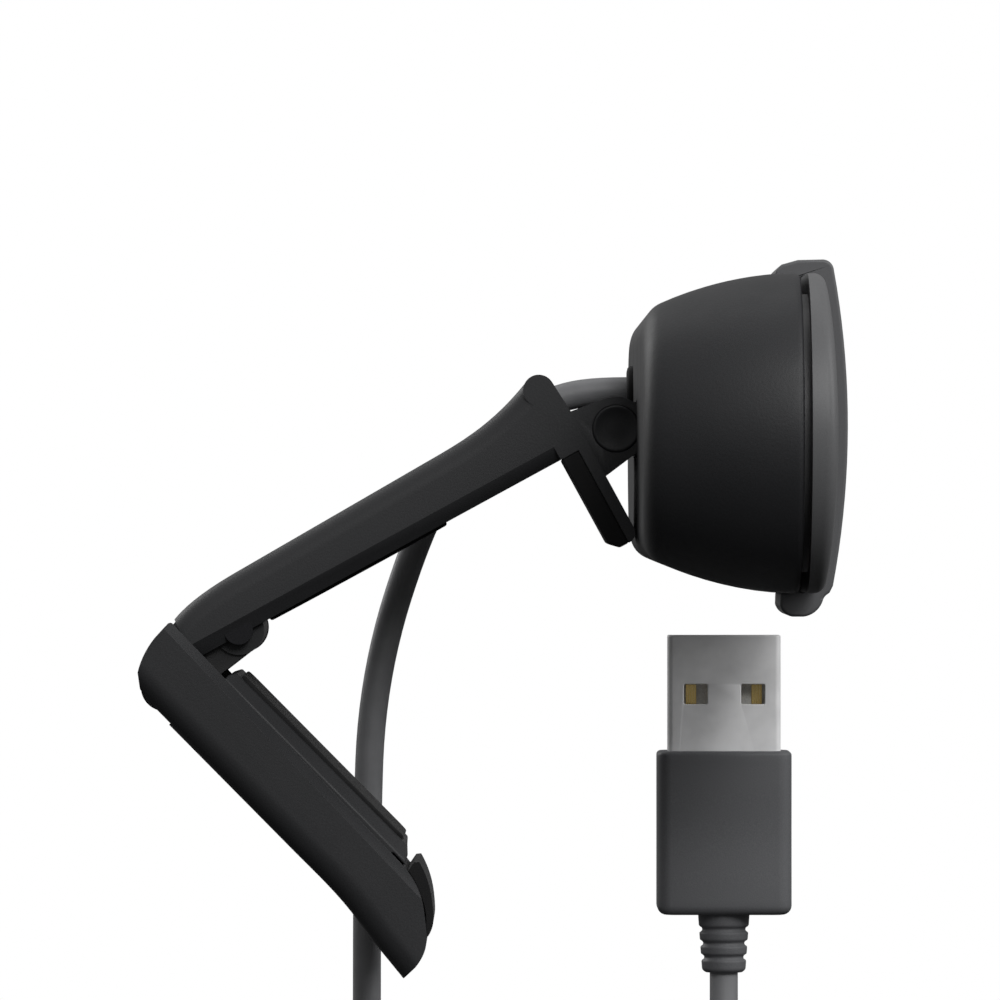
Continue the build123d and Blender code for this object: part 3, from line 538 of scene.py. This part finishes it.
def softened(node: str, finish: bpy.types.Material, width: float, segments: int = 3) -> bpy.types.Object:
    """A copy of a CAD node with its moulded edges rounded.

    Args:
        node: the CAD node.
        finish: the copy's material.
        width: how far the rounding reaches from each edge, in metres.
        segments: faces across the rounding.

    Returns:
        The copy, which replaces the node.
    """
    mesh = frame["nodes"][node].data.copy()
    mesh.materials.clear()
    mesh.materials.append(finish)
    work = bmesh.new()
    work.from_mesh(mesh)
    bmesh.ops.remove_doubles(work, verts=work.verts, dist=2e-6)
    bmesh.ops.dissolve_limit(
        work, angle_limit=math.radians(0.6), use_dissolve_boundaries=False, verts=work.verts,
        edges=work.edges)
    work.to_mesh(mesh)
    work.free()
    piece = finished(node + "_moulded", mesh, 32.0)
    bevel = piece.modifiers.new("rounded edges", "BEVEL")
    bevel.width = width
    bevel.segments = segments
    bevel.limit_method = "ANGLE"
    bevel.angle_limit = math.radians(38)
    bevel.use_clamp_overlap = True
    bevel.harden_normals = True
    bevel.miter_outer = "MITER_ARC"
    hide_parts(node)
    return piece


def turned(profile: np.ndarray, site: Site, sides: int = 72) -> np.ndarray:
    """A turned surface: each row of the profile becomes a ring about the site's out axis.

    Args:
        profile: a radius and a height to a row, in metres.
        site: the axis, and where it starts.
        sides: points round each ring.

    Returns:
        The rings, by row and column.
    """
    angle = np.linspace(0, 2 * math.pi, sides, endpoint=False)
    radius, height = profile[:, :1], profile[:, 1:]
    ring = np.stack([radius * np.cos(angle), radius * np.sin(angle), height + 0 * angle], axis=-1)
    return site.place(ring)


def rounded_outline(half_a: np.ndarray, half_b: np.ndarray, radius: np.ndarray, corner: int = 8) -> np.ndarray:
    """Rounded rectangles, one to a row.

    Each corner is a quarter circle about a point set in by the radius from both sides.

    Args:
        half_a: half the width of each.
        half_b: half the height of each.
        radius: the corner radius of each.
        corner: points round one corner.

    Returns:
        The outlines, two numbers to a point.
    """
    quarter = np.linspace(0, math.pi / 2, corner)
    angle = np.concatenate([quarter + k * math.pi / 2 for k in range(4)])
    side_a = np.repeat([1, -1, -1, 1], corner)
    side_b = np.repeat([1, 1, -1, -1], corner)
    a = side_a * (half_a - radius)[:, None] + radius[:, None] * np.cos(angle)
    b = side_b * (half_b - radius)[:, None] + radius[:, None] * np.sin(angle)
    return np.stack([a, b], axis=-1)


def rounded_slab(
    site: Site, low: np.ndarray, high: np.ndarray, corner: float, edge: float, crown: float = 0.0,
) -> np.ndarray:
    """A slab with rounded corners in plan and rounded edges on its out face.

    The plan outline is carried inwards and up over a quarter circle of the edge radius, then on to
    the middle, rising by the crown as one minus the square of the distance from the middle.

    Args:
        site: the local frame that low and high are measured in.
        low: the slab's lowest local corner.
        high: its highest local corner.
        corner: the plan's corner radius, in metres.
        edge: the out face's edge radius.
        crown: how far the middle of the out face stands above its rim.

    Returns:
        The slab's points by row, from the back's middle to the front's middle.
    """
    middle, half = (low + high) / 2, (high - low) / 2
    turn = np.linspace(0, math.pi / 2, 6)
    reach = half[:2].min()
    inward = np.linspace(edge, 0.985 * reach, 8)[1:]
    inset = np.concatenate([[0.985 * reach, 0.0], edge * (1 - np.cos(turn)), inward])
    top = high[2] - crown
    rise = crown * (1 - ((reach - inward) / reach) ** 2)
    height = np.concatenate([[low[2], low[2]], top - edge * (1 - np.sin(turn)), top + rise])
    radius = np.clip(corner - 0.3 * inset, 0.02 * corner, None)
    radius = np.minimum(radius, half[:2].min() - inset - 1e-6)
    flat = rounded_outline(half[0] - inset, half[1] - inset, np.maximum(radius, 1e-6))
    local = np.concatenate([flat + middle[:2], np.repeat(height[:, None, None], flat.shape[1], 1)], -1)
    return site.place(local)


# ------------------------------------------------------------------ the camera, light and floor
@dataclass
class Studio:
    """A long lens square on to the webcam's side, soft lights and a pale floor.

    Args:
        floor_z: the height of the floor, in metres.
        eye: where the camera stands.
        lens: the focal length on a 36 mm sensor, in millimetres.
        floor_radius: how far the floor reaches.
        sky: the fill's levels, each with its place from below to above.
        lights: by name, each light's place, size, power and height over its width.
    """

    floor_z: float
    eye: Triple = (0.01225, -0.9, 0.00635)
    lens: float = 309.4
    floor_radius: float = 0.42
    sky: tuple[tuple[float, float], ...] = ((0.30, 0.02), (0.52, 0.20), (0.80, 0.40))
    lights: dict[str, tuple[Triple, float, float, float]] = field(default_factory=lambda: {
        "key": ((0.30, -0.85, 0.55), 0.40, 5.0, 1.0),
        "front_strip": ((0.80, -0.25, 0.40), 0.30, 2.8, 1.6),
        "top": ((-0.10, 0.20, 0.85), 0.60, 0.9, 1.0),
        "rear_fill": ((-0.60, 0.55, 0.35), 0.50, 2.0, 1.0),
    })

    def build(self) -> None:
        """Make the camera, then the lights, the world and the floor."""
        data = bpy.data.cameras.new("long_lens")
        data.lens = self.lens
        data.sensor_width = 36.0
        data.clip_start = 0.05
        camera = bpy.data.objects.new("camera", data)
        camera.location = self.eye
        camera.rotation_euler = (math.pi / 2, 0, 0)
        bpy.context.scene.collection.objects.link(camera)
        bpy.context.scene.camera = camera
        bpy.context.scene.view_settings.view_transform = "Standard"
        self._lights()
        self._world()
        self._floor()
        LOG.info("studio: camera at %s, floor at %.4f", self.eye, self.floor_z)

    def _lights(self) -> None:
        """Square area lights aimed at the webcam's middle."""
        target = np.array([0.015, 0.0, 0.0])
        for name, (place, size, power, stretch) in self.lights.items():
            lamp = bpy.data.lights.new(name, "AREA")
            lamp.shape = "RECTANGLE"
            lamp.size = size
            lamp.size_y = size * stretch
            lamp.energy = power
            holder = bpy.data.objects.new(name, lamp)
            away = np.array(place) - target
            flat = math.hypot(away[0], away[1])
            holder.location = place
            holder.rotation_euler = (math.atan2(flat, away[2]), 0, math.atan2(away[0], -away[1]))
            bpy.context.scene.collection.objects.link(holder)

    def _world(self) -> None:
        """White where it is seen directly; where it lights, a dim fill that is stronger from above."""
        world = bpy.data.worlds.new("studio")
        bpy.context.scene.world = world
        world.use_nodes = True
        nodes, links = world.node_tree.nodes, world.node_tree.links
        path = nodes.new("ShaderNodeLightPath")
        seen, fill = nodes["Background"], nodes.new("ShaderNodeBackground")
        mix, out = nodes.new("ShaderNodeMixShader"), nodes["World Output"]
        seen.inputs["Color"].default_value = (1, 1, 1, 1)
        seen.inputs["Strength"].default_value = 1.0
        fill.inputs["Strength"].default_value = 1.0
        coords, axes = nodes.new("ShaderNodeTexCoord"), nodes.new("ShaderNodeSeparateXYZ")
        height, shade = nodes.new("ShaderNodeMapRange"), nodes.new("ShaderNodeValToRGB")
        height.inputs["From Min"].default_value = -1.0
        links.new(coords.outputs["Generated"], axes.inputs["Vector"])
        links.new(axes.outputs["Z"], height.inputs["Value"])
        links.new(height.outputs["Result"], shade.inputs["Fac"])
        links.new(shade.outputs["Color"], fill.inputs["Color"])
        elements = shade.color_ramp.elements
        elements.new(0.5)
        for element, (place, level) in zip(elements, self.sky):
            element.position = place
            element.color = (level, level, level, 1.0)
        links.new(path.outputs["Is Camera Ray"], mix.inputs["Fac"])
        links.new(fill.outputs["Background"], mix.inputs[1])
        links.new(seen.outputs["Background"], mix.inputs[2])
        links.new(mix.outputs["Shader"], out.inputs["Surface"])

    def _floor(self) -> None:
        """A pale round floor that fades out towards its rim."""
        site = Site(np.array([0.012, 0.0, self.floor_z]), np.array([1.0, 0, 0]), np.array([0, 0, 1.0]))
        rings = np.linspace(0.0, self.floor_radius, 12)
        grid = turned(np.stack([rings, 0 * rings], -1), site)
        wiring = Wiring("floor")
        length = wiring.add("ShaderNodeVectorMath", operation="LENGTH")
        flatten = wiring.add("ShaderNodeMapping")
        flatten.inputs["Scale"].default_value = (1, 1, 0)
        fade = wiring.add(
            "ShaderNodeMapRange", From_Min=0.35 * self.floor_radius, From_Max=0.97 * self.floor_radius,
            To_Min=1.0, To_Max=0.0)
        wiring.join(wiring.coords.outputs["Object"], flatten.inputs["Vector"])
        wiring.join(flatten.outputs["Vector"], length.inputs[0])
        wiring.join(length.outputs["Value"], fade.inputs["Value"])
        wiring.join(fade.outputs["Result"], wiring.shader.inputs["Alpha"])
        wiring.set(Base_Color=(0.86, 0.86, 0.86, 1), Roughness=0.85)
        piece = mesh_from_grid("floor", grid, wiring.material, ends=False)
        piece.visible_diffuse = False
        piece.visible_glossy = False


# ------------------------------------------------------------------ the lead
@dataclass
class Lead:
    """The lead: out of the head, over the arm, down, wound flat and up to its plug.

    Its route is a list of points in millimetres, and the coil's turns are worked out: rows one
    above the other, each turn a column further in or out than the last. Sizes are in millimetres.

    Args:
        palette: where its finish comes from.
        diameter: the lead's thickness.
        length: its whole length.
        floor: the height it lies on.
        row_pitch: the rise from one row of the coil to the next.
        centre: the coil's axis.
        first_radius: the outermost column's radius.
        last_radius: the innermost column's radius.
        turns: how many times it is wound.
        per_turn: control points to a turn.
        sides: points round the tube.
        wander: how unevenly it is wound, each a width and the radians to one turn.
    """

    palette: Palette
    diameter: float = 3.0
    length: float = 1500.0
    floor: float = -70.15
    row_pitch: float = 2.6
    centre: tuple[float, float] = COIL_CENTRE
    first_radius: float = 23.6
    last_radius: float = 14.45
    turns: float = 11.5
    per_turn: int = 16
    sides: int = 20
    wander: tuple[tuple[float, float], ...] = ((0.12, 5.3), (0.08, 17.1))

    def __post_init__(self) -> None:
        """Heights that the route's ends and the coil's rows share."""
        self.rows = [self.floor + 2.0 + self.row_pitch * row for row in range(3)]

    def drop_route(self) -> list[Triple]:
        """From the bush in the head to the coil's first turn.

        Returns:
            The control points, in millimetres.
        """
        low = self.rows[0]
        return [
            (25.75, 16.0, 17.95), (22.15, 16.0, 17.95), (18.15, 16.0, 17.15), (13.15, 16.0, 14.65),
            (8.75, 16.0, 10.75), (5.2, 16.0, 6.2), (2.6, 16.0, 0.0), (0.0, 16.0, -8.25),
            (-1.52, 16.0, -17.05), (-1.85, 16.0, -26.25), (-1.93, 16.0, -39.15),
            (-1.95, 16.0, low + 12.2), (-1.95, 11.53, low + 4.47), (-1.95, 3.8, low),
            (-1.95, -5.1, low),
        ]

    def rise_route(self) -> list[Triple]:
        """From the coil's last turn up to the plug's relief.

        Returns:
            The control points, in millimetres.
        """
        high = self.rows[-1]
        return [
            (36.1, -5.1, high), (36.1, 3.8, high), (36.1, 11.53, high + 4.47),
            (36.1, 16.0, high + 12.2), (36.1, 16.0, high + 19.0),
        ]

    def coil(self) -> np.ndarray:
        """The wound turns, counted from the side where the lead arrives.

        A turn's radius holds for most of the turn and then steps to the next column over its last
        fifth; a new row rises over the same stretch. The control points stand
        out by one over the cosine of half their spacing, because the curve cuts inside them.

        Returns:
            The control points, one to a row, in millimetres.
        """
        step, holds = 1.0 / self.per_turn, 0.8
        count = np.arange(1.3 * step, self.turns - 1.6 * step, step)
        outer, inner = self.first_radius, self.last_radius
        down = np.linspace(outer, inner - 0.25, 4)
        up = np.array([14.9, 17.65, 20.4, 23.0])
        again = np.append(np.linspace(outer, inner, 4), inner)
        starts = np.array([0, 1, 2, 3, 4, 5, 6, 7, 7.5, 8.5, 9.5, 10.5, 11.5])
        radii = np.concatenate([down, up, again])
        heights = np.repeat(self.rows, [4, 4, 5])
        column = np.clip(np.searchsorted(starts, count, side="right") - 1, 0, len(starts) - 2)
        share = (count - starts[column]) / (starts[column + 1] - starts[column])
        ease = np.clip((share - holds) / (1 - holds), 0, 1)
        radius = radii[column] + (radii[column + 1] - radii[column]) * ease * ease * (3 - 2 * ease)
        height = heights[column] + (heights[column + 1] - heights[column]) * ease
        for width, pace in self.wander:
            radius = radius + width * np.sin(pace * count)
        radius = radius / math.cos(math.pi / self.per_turn)
        angle = math.pi + 2 * math.pi * count
        return np.stack([
            self.centre[0] + radius * np.cos(angle), self.centre[1] + radius * np.sin(angle), height,
        ], axis=-1)

    def line(self) -> np.ndarray:
        """The centre line, read from one NURBS spline through the whole route.

        Returns:
            Its points, one to a row, in metres.
        """
        points = np.concatenate([self.drop_route(), self.coil(), self.rise_route()]) * MM
        curve = bpy.data.curves.new("lead_line", "CURVE")
        curve.dimensions = "3D"
        curve.resolution_u = 5
        spline = curve.splines.new("NURBS")
        spline.points.add(len(points) - 1)
        weighted = np.concatenate([points, np.ones((len(points), 1))], axis=1)
        spline.points.foreach_set("co", weighted.ravel())
        spline.order_u = 3
        spline.use_endpoint_u = True
        holder = bpy.data.objects.new("lead_line", curve)
        mesh = bpy.data.meshes.new_from_object(holder)
        found = np.zeros(len(mesh.vertices) * 3)
        mesh.vertices.foreach_get("co", found)
        bpy.data.objects.remove(holder)
        bpy.data.meshes.remove(mesh)
        return found.reshape(-1, 3)

    def tube(self, line: np.ndarray) -> np.ndarray:
        """Rings round the line.

        Each ring's first direction is the last one's with its part along the tangent taken away,
        so the tube doesn't twist; the second is the tangent crossed with it.

        Args:
            line: the centre line's points.

        Returns:
            The rings, by row and column.
        """
        tangent = np.gradient(line, axis=0)
        tangent /= np.linalg.norm(tangent, axis=1, keepdims=True)
        side = np.zeros_like(line)
        side[0] = (0.0, 1.0, 0.0)
        for place in range(1, len(line)):
            free = side[place - 1] - tangent[place] * (side[place - 1] @ tangent[place])
            side[place] = free / np.linalg.norm(free)
        up = np.cross(tangent, side)
        angle = np.linspace(0, 2 * math.pi, self.sides, endpoint=False)[None, :, None]
        radius = self.diameter * MM / 2
        return line[:, None] + radius * (np.cos(angle) * side[:, None] + np.sin(angle) * up[:, None])

    def build(self, on_it: Sequence[bpy.types.Object]) -> None:
        """Make the lead.

        Args:
            on_it: the plug's and the tie's pieces; not used.
        """
        line = self.line()
        piece = mesh_from_grid(
            "lead", self.tube(line), self.palette[JACKET], uv_size=(self.length * MM, 1.0), sharp=60)
        start = self.drop_route()[0]
        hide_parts("lead_flex", "lead_drop", "lead_coil", "lead_rise")
        bend_start, bend_end = [np.array(self.drop_route()[k]) * MM for k in (1, 5)]
        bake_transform(piece)
        tuple(MM * value for value in start)
        self.diameter * MM
        LOG.info("lead: %d points along its line", len(line))


@dataclass
class Plug:
    """The USB plug: grooved relief, soft overmould, folded metal shell, insulator and contacts.

    Args:
        palette: where its finishes come from.
        groove: the depth of the sleeve's grooves, in metres.
        grooves: where they lie along the sleeve, from 0 to 1.
        bore: the radius of the sleeve's hole for the lead.
    """

    palette: Palette
    groove: float = 0.32 * MM
    grooves: tuple[float, ...] = (0.26, 0.5, 0.74)
    bore: float = 1.45 * MM

    def site(self) -> Site:
        """The plug's own frame.

        Returns:
            A site whose out axis points to the metal end.
        """
        low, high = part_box("plug_overmould")
        middle = [(low[k] + high[k]) / 2 for k in range(2)]
        return Site(np.array([*middle, low[2]]), np.array([1.0, 0, 0]), np.array([0, 0, 1.0]))

    def overmould(self) -> bpy.types.Object:
        """A block with rounded corners, softened ends and a faintly dished grip on its broad faces.

        Each row is a rounded rectangle. It is set in by one minus the sine of a quarter turn at the
        ends, and by the square of a half sine across the grip.

        Returns:
            The block.
        """
        site = self.site()
        low, high = site.extent("plug_overmould")
        middle, half = (low + high) / 2, (high - low) / 2
        turn = np.linspace(0, math.pi / 2, 7)
        foot, brow = 1.0 * MM, 0.45 * MM
        height = np.concatenate([
            [low[2]], low[2] + foot * (1 - np.cos(turn)), np.linspace(low[2] + foot, high[2] - brow, 26)[1:-1],
            high[2] - brow * (1 - np.sin(turn)), [high[2]],
        ])
        inset = np.concatenate([
            [2.2 * MM], foot * (1 - np.sin(turn)), np.zeros(24), brow * (1 - np.cos(turn)), [1.4 * MM]])
        share = (height - low[2]) / (high[2] - low[2])
        grip = np.where((share > 0.1) & (share < 0.84), np.sin(math.pi * (share - 0.1) / 0.74) ** 2, 0.0)
        outline = rounded_outline(
            half[0] - inset, half[1] - inset - 0.16 * MM * grip,
            np.maximum(1.5 * MM - 0.6 * inset, 0.4 * MM), 7)
        local = np.concatenate([
            outline + middle[:2], np.repeat(height[:, None, None], outline.shape[1], 1)], axis=-1)
        piece = mesh_from_grid("plug_grip", site.place(local), self.palette[OVERMOULD], sharp=50)
        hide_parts("plug_overmould")
        return piece

    def relief(self) -> bpy.types.Object:
        """A turned sleeve that tapers to the lead, with soft grooves.

        Its radius grows evenly along it, less a steep bell curve at each groove.

        Returns:
            The sleeve.
        """
        site = self.site()
        low, high = site.extent("plug_relief")
        share = np.linspace(0, 1, 48)
        radius = 2.3 * MM + 0.45 * MM * share
        for middle in self.grooves:
            radius = radius - self.groove * np.exp(-((share - middle) / 0.045) ** 4)
        radius = radius - 0.35 * MM * np.clip(1 - share / 0.07, 0, 1) ** 2
        height = low[2] + share * (high[2] - low[2])
        profile = np.stack([radius, height], -1)
        profile = np.concatenate([[[self.bore, height[0]]], profile, [[self.bore, height[-1]]]])
        piece = mesh_from_grid("plug_sleeve", turned(profile, site, 48), self.palette[OVERMOULD], sharp=60)
        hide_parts("plug_relief")
        return piece

    def build(self) -> list[bpy.types.Object]:
        """Make and dress the plug.

        Returns:
            The plug's pieces, made and dressed.
        """
        made = [self.overmould(), self.relief()]
        for piece in made:
            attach(piece, "clip")
        shell = softened("plug_shell", self.palette[PLUG_METAL], 0.12 * MM, 2)
        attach(shell, "clip")
        self.palette.dress("plug_tongue", TONGUE)
        self.palette.dress("plug_contacts", GOLD)
        LOG.info("plug: %d new pieces", len(made) + 1)
        return made + [shell, frame["nodes"]["plug_tongue"], frame["nodes"]["plug_contacts"]]


@dataclass
class Tie:
    """The band round the coil: one closed loop of soft strap.

    Args:
        palette: where its finish comes from.
        width: the strap's width, in metres.
        thick: its thickness.
        corner: the radius it bends to round the coil's corners.
    """

    palette: Palette
    width: float = 5.0 * MM
    thick: float = 0.5 * MM
    corner: float = 2.7 * MM

    def build(self) -> bpy.types.Object:
        """Carry the strap's flat section round a rounded rectangle in the plane through the coil.

        Returns:
            The strap.
        """
        points = corners("lead_tie")
        low, high = points.min(0), points.max(0)
        centre = (low + high) / 2
        direction = np.array([centre[0] - COIL_CENTRE[0] * MM, centre[1] - COIL_CENTRE[1] * MM, 0.0])
        site = Site(centre, direction, np.array([0.0, 0, 1.0]))
        start, end = site.extent("lead_tie")
        half = (end - start) / 2
        step = np.linspace(0, 1, 9)
        across = np.concatenate([step, [1.0, 1.0], step[::-1], [0.0]])
        depth = np.concatenate([np.zeros(9), [0.5, 1.0], np.ones(9), [0.5]])
        inset = self.thick * depth
        loops = rounded_outline(half[0] - inset, half[2] - inset, np.full(len(inset), self.corner) - inset, 10)
        sideways = (across - 0.5) * self.width
        local = np.stack([
            loops[..., 0], np.repeat(sideways[:, None], loops.shape[1], 1), loops[..., 1]], axis=-1)
        piece = mesh_from_grid("tie_strap", site.place(local), self.palette[BAND], ends=False, sharp=50)
        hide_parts("lead_tie")
        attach(piece, "clip")
        LOG.info("tie: one strap")
        return piece


# ------------------------------------------------------------------ the clip
@dataclass
class Clip:
    """The folding clip: arm, link and foot, their pins and their rubber faces."""

    palette: Palette

    def face_site(self, name: str) -> Site:
        """A rubber face's frame.

        Args:
            name: the mount on that face.

        Returns:
            A site whose out axis is the mount's own.
        """
        out = np.array(mount(name)["axis"], float)
        along = np.cross([0.0, 1.0, 0.0], out)
        return Site(np.array(mount(name)["pos_m"], float), along, out)

    def rubber_faces(self) -> None:
        """The seat's strip and the foot's strip, as rounded slabs."""
        corner, crown = 1.4 * MM, 0.05 * MM
        for node, name, body, edge in (
            ("arm_pad", "clip_seat", "clip", 0.30 * MM), ("foot_pad", "foot_face", "foot", 0.22 * MM),
        ):
            site = self.face_site(name)
            low, high = site.extent(node)
            grid = rounded_slab(site, low, high, corner, edge, crown)
            piece = mesh_from_grid(node + "_strip", grid, self.palette[RIBBED_PAD], sharp=60)
            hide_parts(node)
            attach(piece, body)
            LOG.info("%s: rounded strip", node)

    def pin_heads(self) -> None:
        """The tilt pin: a plain bar between two discs, each dished with a rounded rim."""
        low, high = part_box("tilt_pin")
        spot = np.array(joint("head_tilt")["pos_m"], float)
        site = Site(spot, np.array([1.0, 0, 0]), np.array([0, 1.0, 0]))
        head, bar, depth = (high[0] - low[0]) / 2, 1.2 * MM, 0.7 * MM
        reach = high[1]
        turn = np.linspace(0, math.pi / 2, 5)
        rim = 0.22 * MM
        disc = np.concatenate([
            [[bar, reach - depth]], [[head, reach - depth]],
            np.stack([head - rim * (1 - np.cos(turn)), reach - rim * (1 - np.sin(turn))], -1),
            [[0.86 * head, reach], [0.78 * head, reach - 0.10 * MM], [0.3 * head, reach - 0.14 * MM],
             [0.01 * MM, reach - 0.14 * MM]],
        ])
        profile = np.concatenate([disc[::-1] * [1, -1], disc])
        piece = mesh_from_grid("tilt_pin_turned", turned(profile, site), self.palette[PIN], sharp=45)
        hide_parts("tilt_pin")
        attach(piece, "clip")
        LOG.info("tilt pin: turned")

    def mouldings(self) -> None:
        """The moulded parts, with their edges rounded."""
        for node, body, finish, slot, width in (
            ("clip_arm", "clip", CLIP, "clip", 0.35), ("lip_pad", "clip", PAD, "pad", 0.25),
            ("clip_link", "link", HINGE, "hinge", 0.35), ("foot_shell", "foot", CLIP, "clip", 0.30),
            ("foot_grip", "foot", CLIP, "clip", 0.35), ("foot_tip_pad", "foot", PAD, "pad", 0.35),
            ("tilt_knuckle", "head", HINGE, "hinge", 0.30),
        ):
            piece = softened(node, self.palette[finish], width * MM)
            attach(piece, body)
            LOG.info("%s: edges rounded by %.2f mm", node, width)

    def build(self) -> None:
        """Make and dress the whole clip."""
        self.mouldings()
        self.rubber_faces()
        self.pin_heads()
        self.palette.dress("arm_underplate", HINGE)
        for finish, nodes in (
            (STEEL, ("underplate_screws", "foot_screws")),
            (DARK_STEEL, ("elbow_pin", "heel_pin")),
            (PIN, ("elbow_washers", "heel_washers", "tilt_washers")),
        ):
            for node in nodes:
                self.palette.dress(node, finish)


# ------------------------------------------------------------------ the head
@dataclass
class Head:
    """The pill-shaped head: shell, front cover, shutter, window and what is inside."""

    palette: Palette

    def front_site(self) -> Site:
        """The lens axis.

        Returns:
            A site on the face whose out axis looks forwards.
        """
        low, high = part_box("lens_trim")
        middle = [(low[k] + high[k]) / 2 for k in (1, 2)]
        return Site(np.array([high[0], *middle]), np.array([0, 1.0, 0]), np.array([1.0, 0, 0]))

    def lens_ring(self) -> None:
        """The black ring round the window: a raised lip, then fine steps down to the glass."""
        site = self.front_site()
        low, high = site.extent("lens_trim")
        outer = high[0]
        inner = (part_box("lens_window")[1][1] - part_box("lens_window")[0][1]) / 2
        steps = 5
        radii = np.repeat(np.linspace(outer - 0.45 * MM, inner, steps + 1), 2)
        drops = np.repeat(np.linspace(0.06, 0.62, steps + 1) * MM, 2)
        stair = np.stack([radii[1:], -drops[:-1]], -1)
        profile = np.concatenate([
            [[inner, low[2]], [outer, low[2]], [outer, -0.22 * MM], [outer - 0.08 * MM, -0.06 * MM],
             [outer - 0.22 * MM, 0.0], [outer - 0.38 * MM, -0.02 * MM]], stair, [[inner, low[2]]]])
        piece = mesh_from_grid(
            "lens_ring", turned(profile, site, 96), self.palette[LENS_BLACK], ends=False, sharp=30)
        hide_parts("lens_trim")
        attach(piece, "head")
        LOG.info("lens ring: %d steps", steps)

    def window(self) -> None:
        """The clear window: a thin disc with a crowned front, the crown a circle's arc."""
        site = self.front_site()
        low, high = site.extent("lens_window")
        radius = high[0]
        share = np.linspace(1, 0.002, 14)
        crown = 0.16 * MM * (1 - share ** 2)
        front = np.stack([radius * share, high[2] - 0.16 * MM + crown], -1)
        profile = np.concatenate([[[0.01 * MM, low[2]], [radius, low[2]]], front])
        piece = mesh_from_grid("window_glass", turned(profile, site, 96), self.palette[LENS_GLASS], sharp=35)
        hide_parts("lens_window")
        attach(piece, "head")
        LOG.info("window: crowned disc")

    def bush(self) -> None:
        """The lead's bush: a turned flange with a rounded lip and a short flared mouth."""
        low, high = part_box("lead_grommet")
        middle = [(low[k] + high[k]) / 2 for k in (1, 2)]
        site = Site(np.array([low[0], *middle]), np.array([0, 1.0, 0]), np.array([1.0, 0, 0]))
        reach = high[0] - low[0]
        profile = np.array([
            [1.50, 0.12], [1.62, 0.0], [2.05, -0.02], [2.45, 0.08], [2.66, 0.3], [2.70, 0.62], [2.10, 0.66],
            [2.08, 3.0], [2.68, 3.06], [2.70, 3.6], [1.50, reach / MM],
        ]) * MM
        piece = mesh_from_grid("bush_turned", turned(profile, site, 64), self.palette[PAD], sharp=50)
        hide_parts("lead_grommet")
        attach(piece, "head")
        LOG.info("bush: turned")

    def build(self) -> None:
        """Make and dress the head."""
        self.lens_ring()
        self.window()
        self.bush()
        slider = softened("shutter_slider", self.palette[SLIDER], 0.3 * MM)
        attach(slider, "shutter")
        cover = softened("front_cover", self.palette[BEZEL], 0.12 * MM, 2)
        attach(cover, "head")
        shell = softened("rear_shell", self.palette[SHELL], 0.18 * MM, 2)
        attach(shell, "head")
        for finish, nodes in (
            (STEEL, ("knuckle_screws", "board_screws", "microphone")),
            (CHIP, ("image_sensor", "video_chip", "board_chips")),
            (LENS_BLACK, ("lens_holder", "lens_barrel")),
            (LENS_GLASS, ("lens_elements", "ir_filter")),
            (LIGHT_GUIDE, ("status_led", "led_light_guide")),
            (MASK, ("main_board",)), (TONGUE, ("lead_connector",)),
            (PAD, ("microphone_sleeve", "inner_lead")),
        ):
            for node in nodes:
                self.palette.dress(node, finish)


def main() -> None:
    """Build everything in order."""
    logging.basicConfig(level=logging.INFO, format="%(name)s %(message)s")
    palette = Palette()
    lead = Lead(palette)
    Studio(lead.floor * MM).build()
    on_lead = Plug(palette).build() + [Tie(palette).build()]
    lead.build(on_lead)
    Clip(palette).build()
    Head(palette).build()


if __name__ == "__main__":
    main()
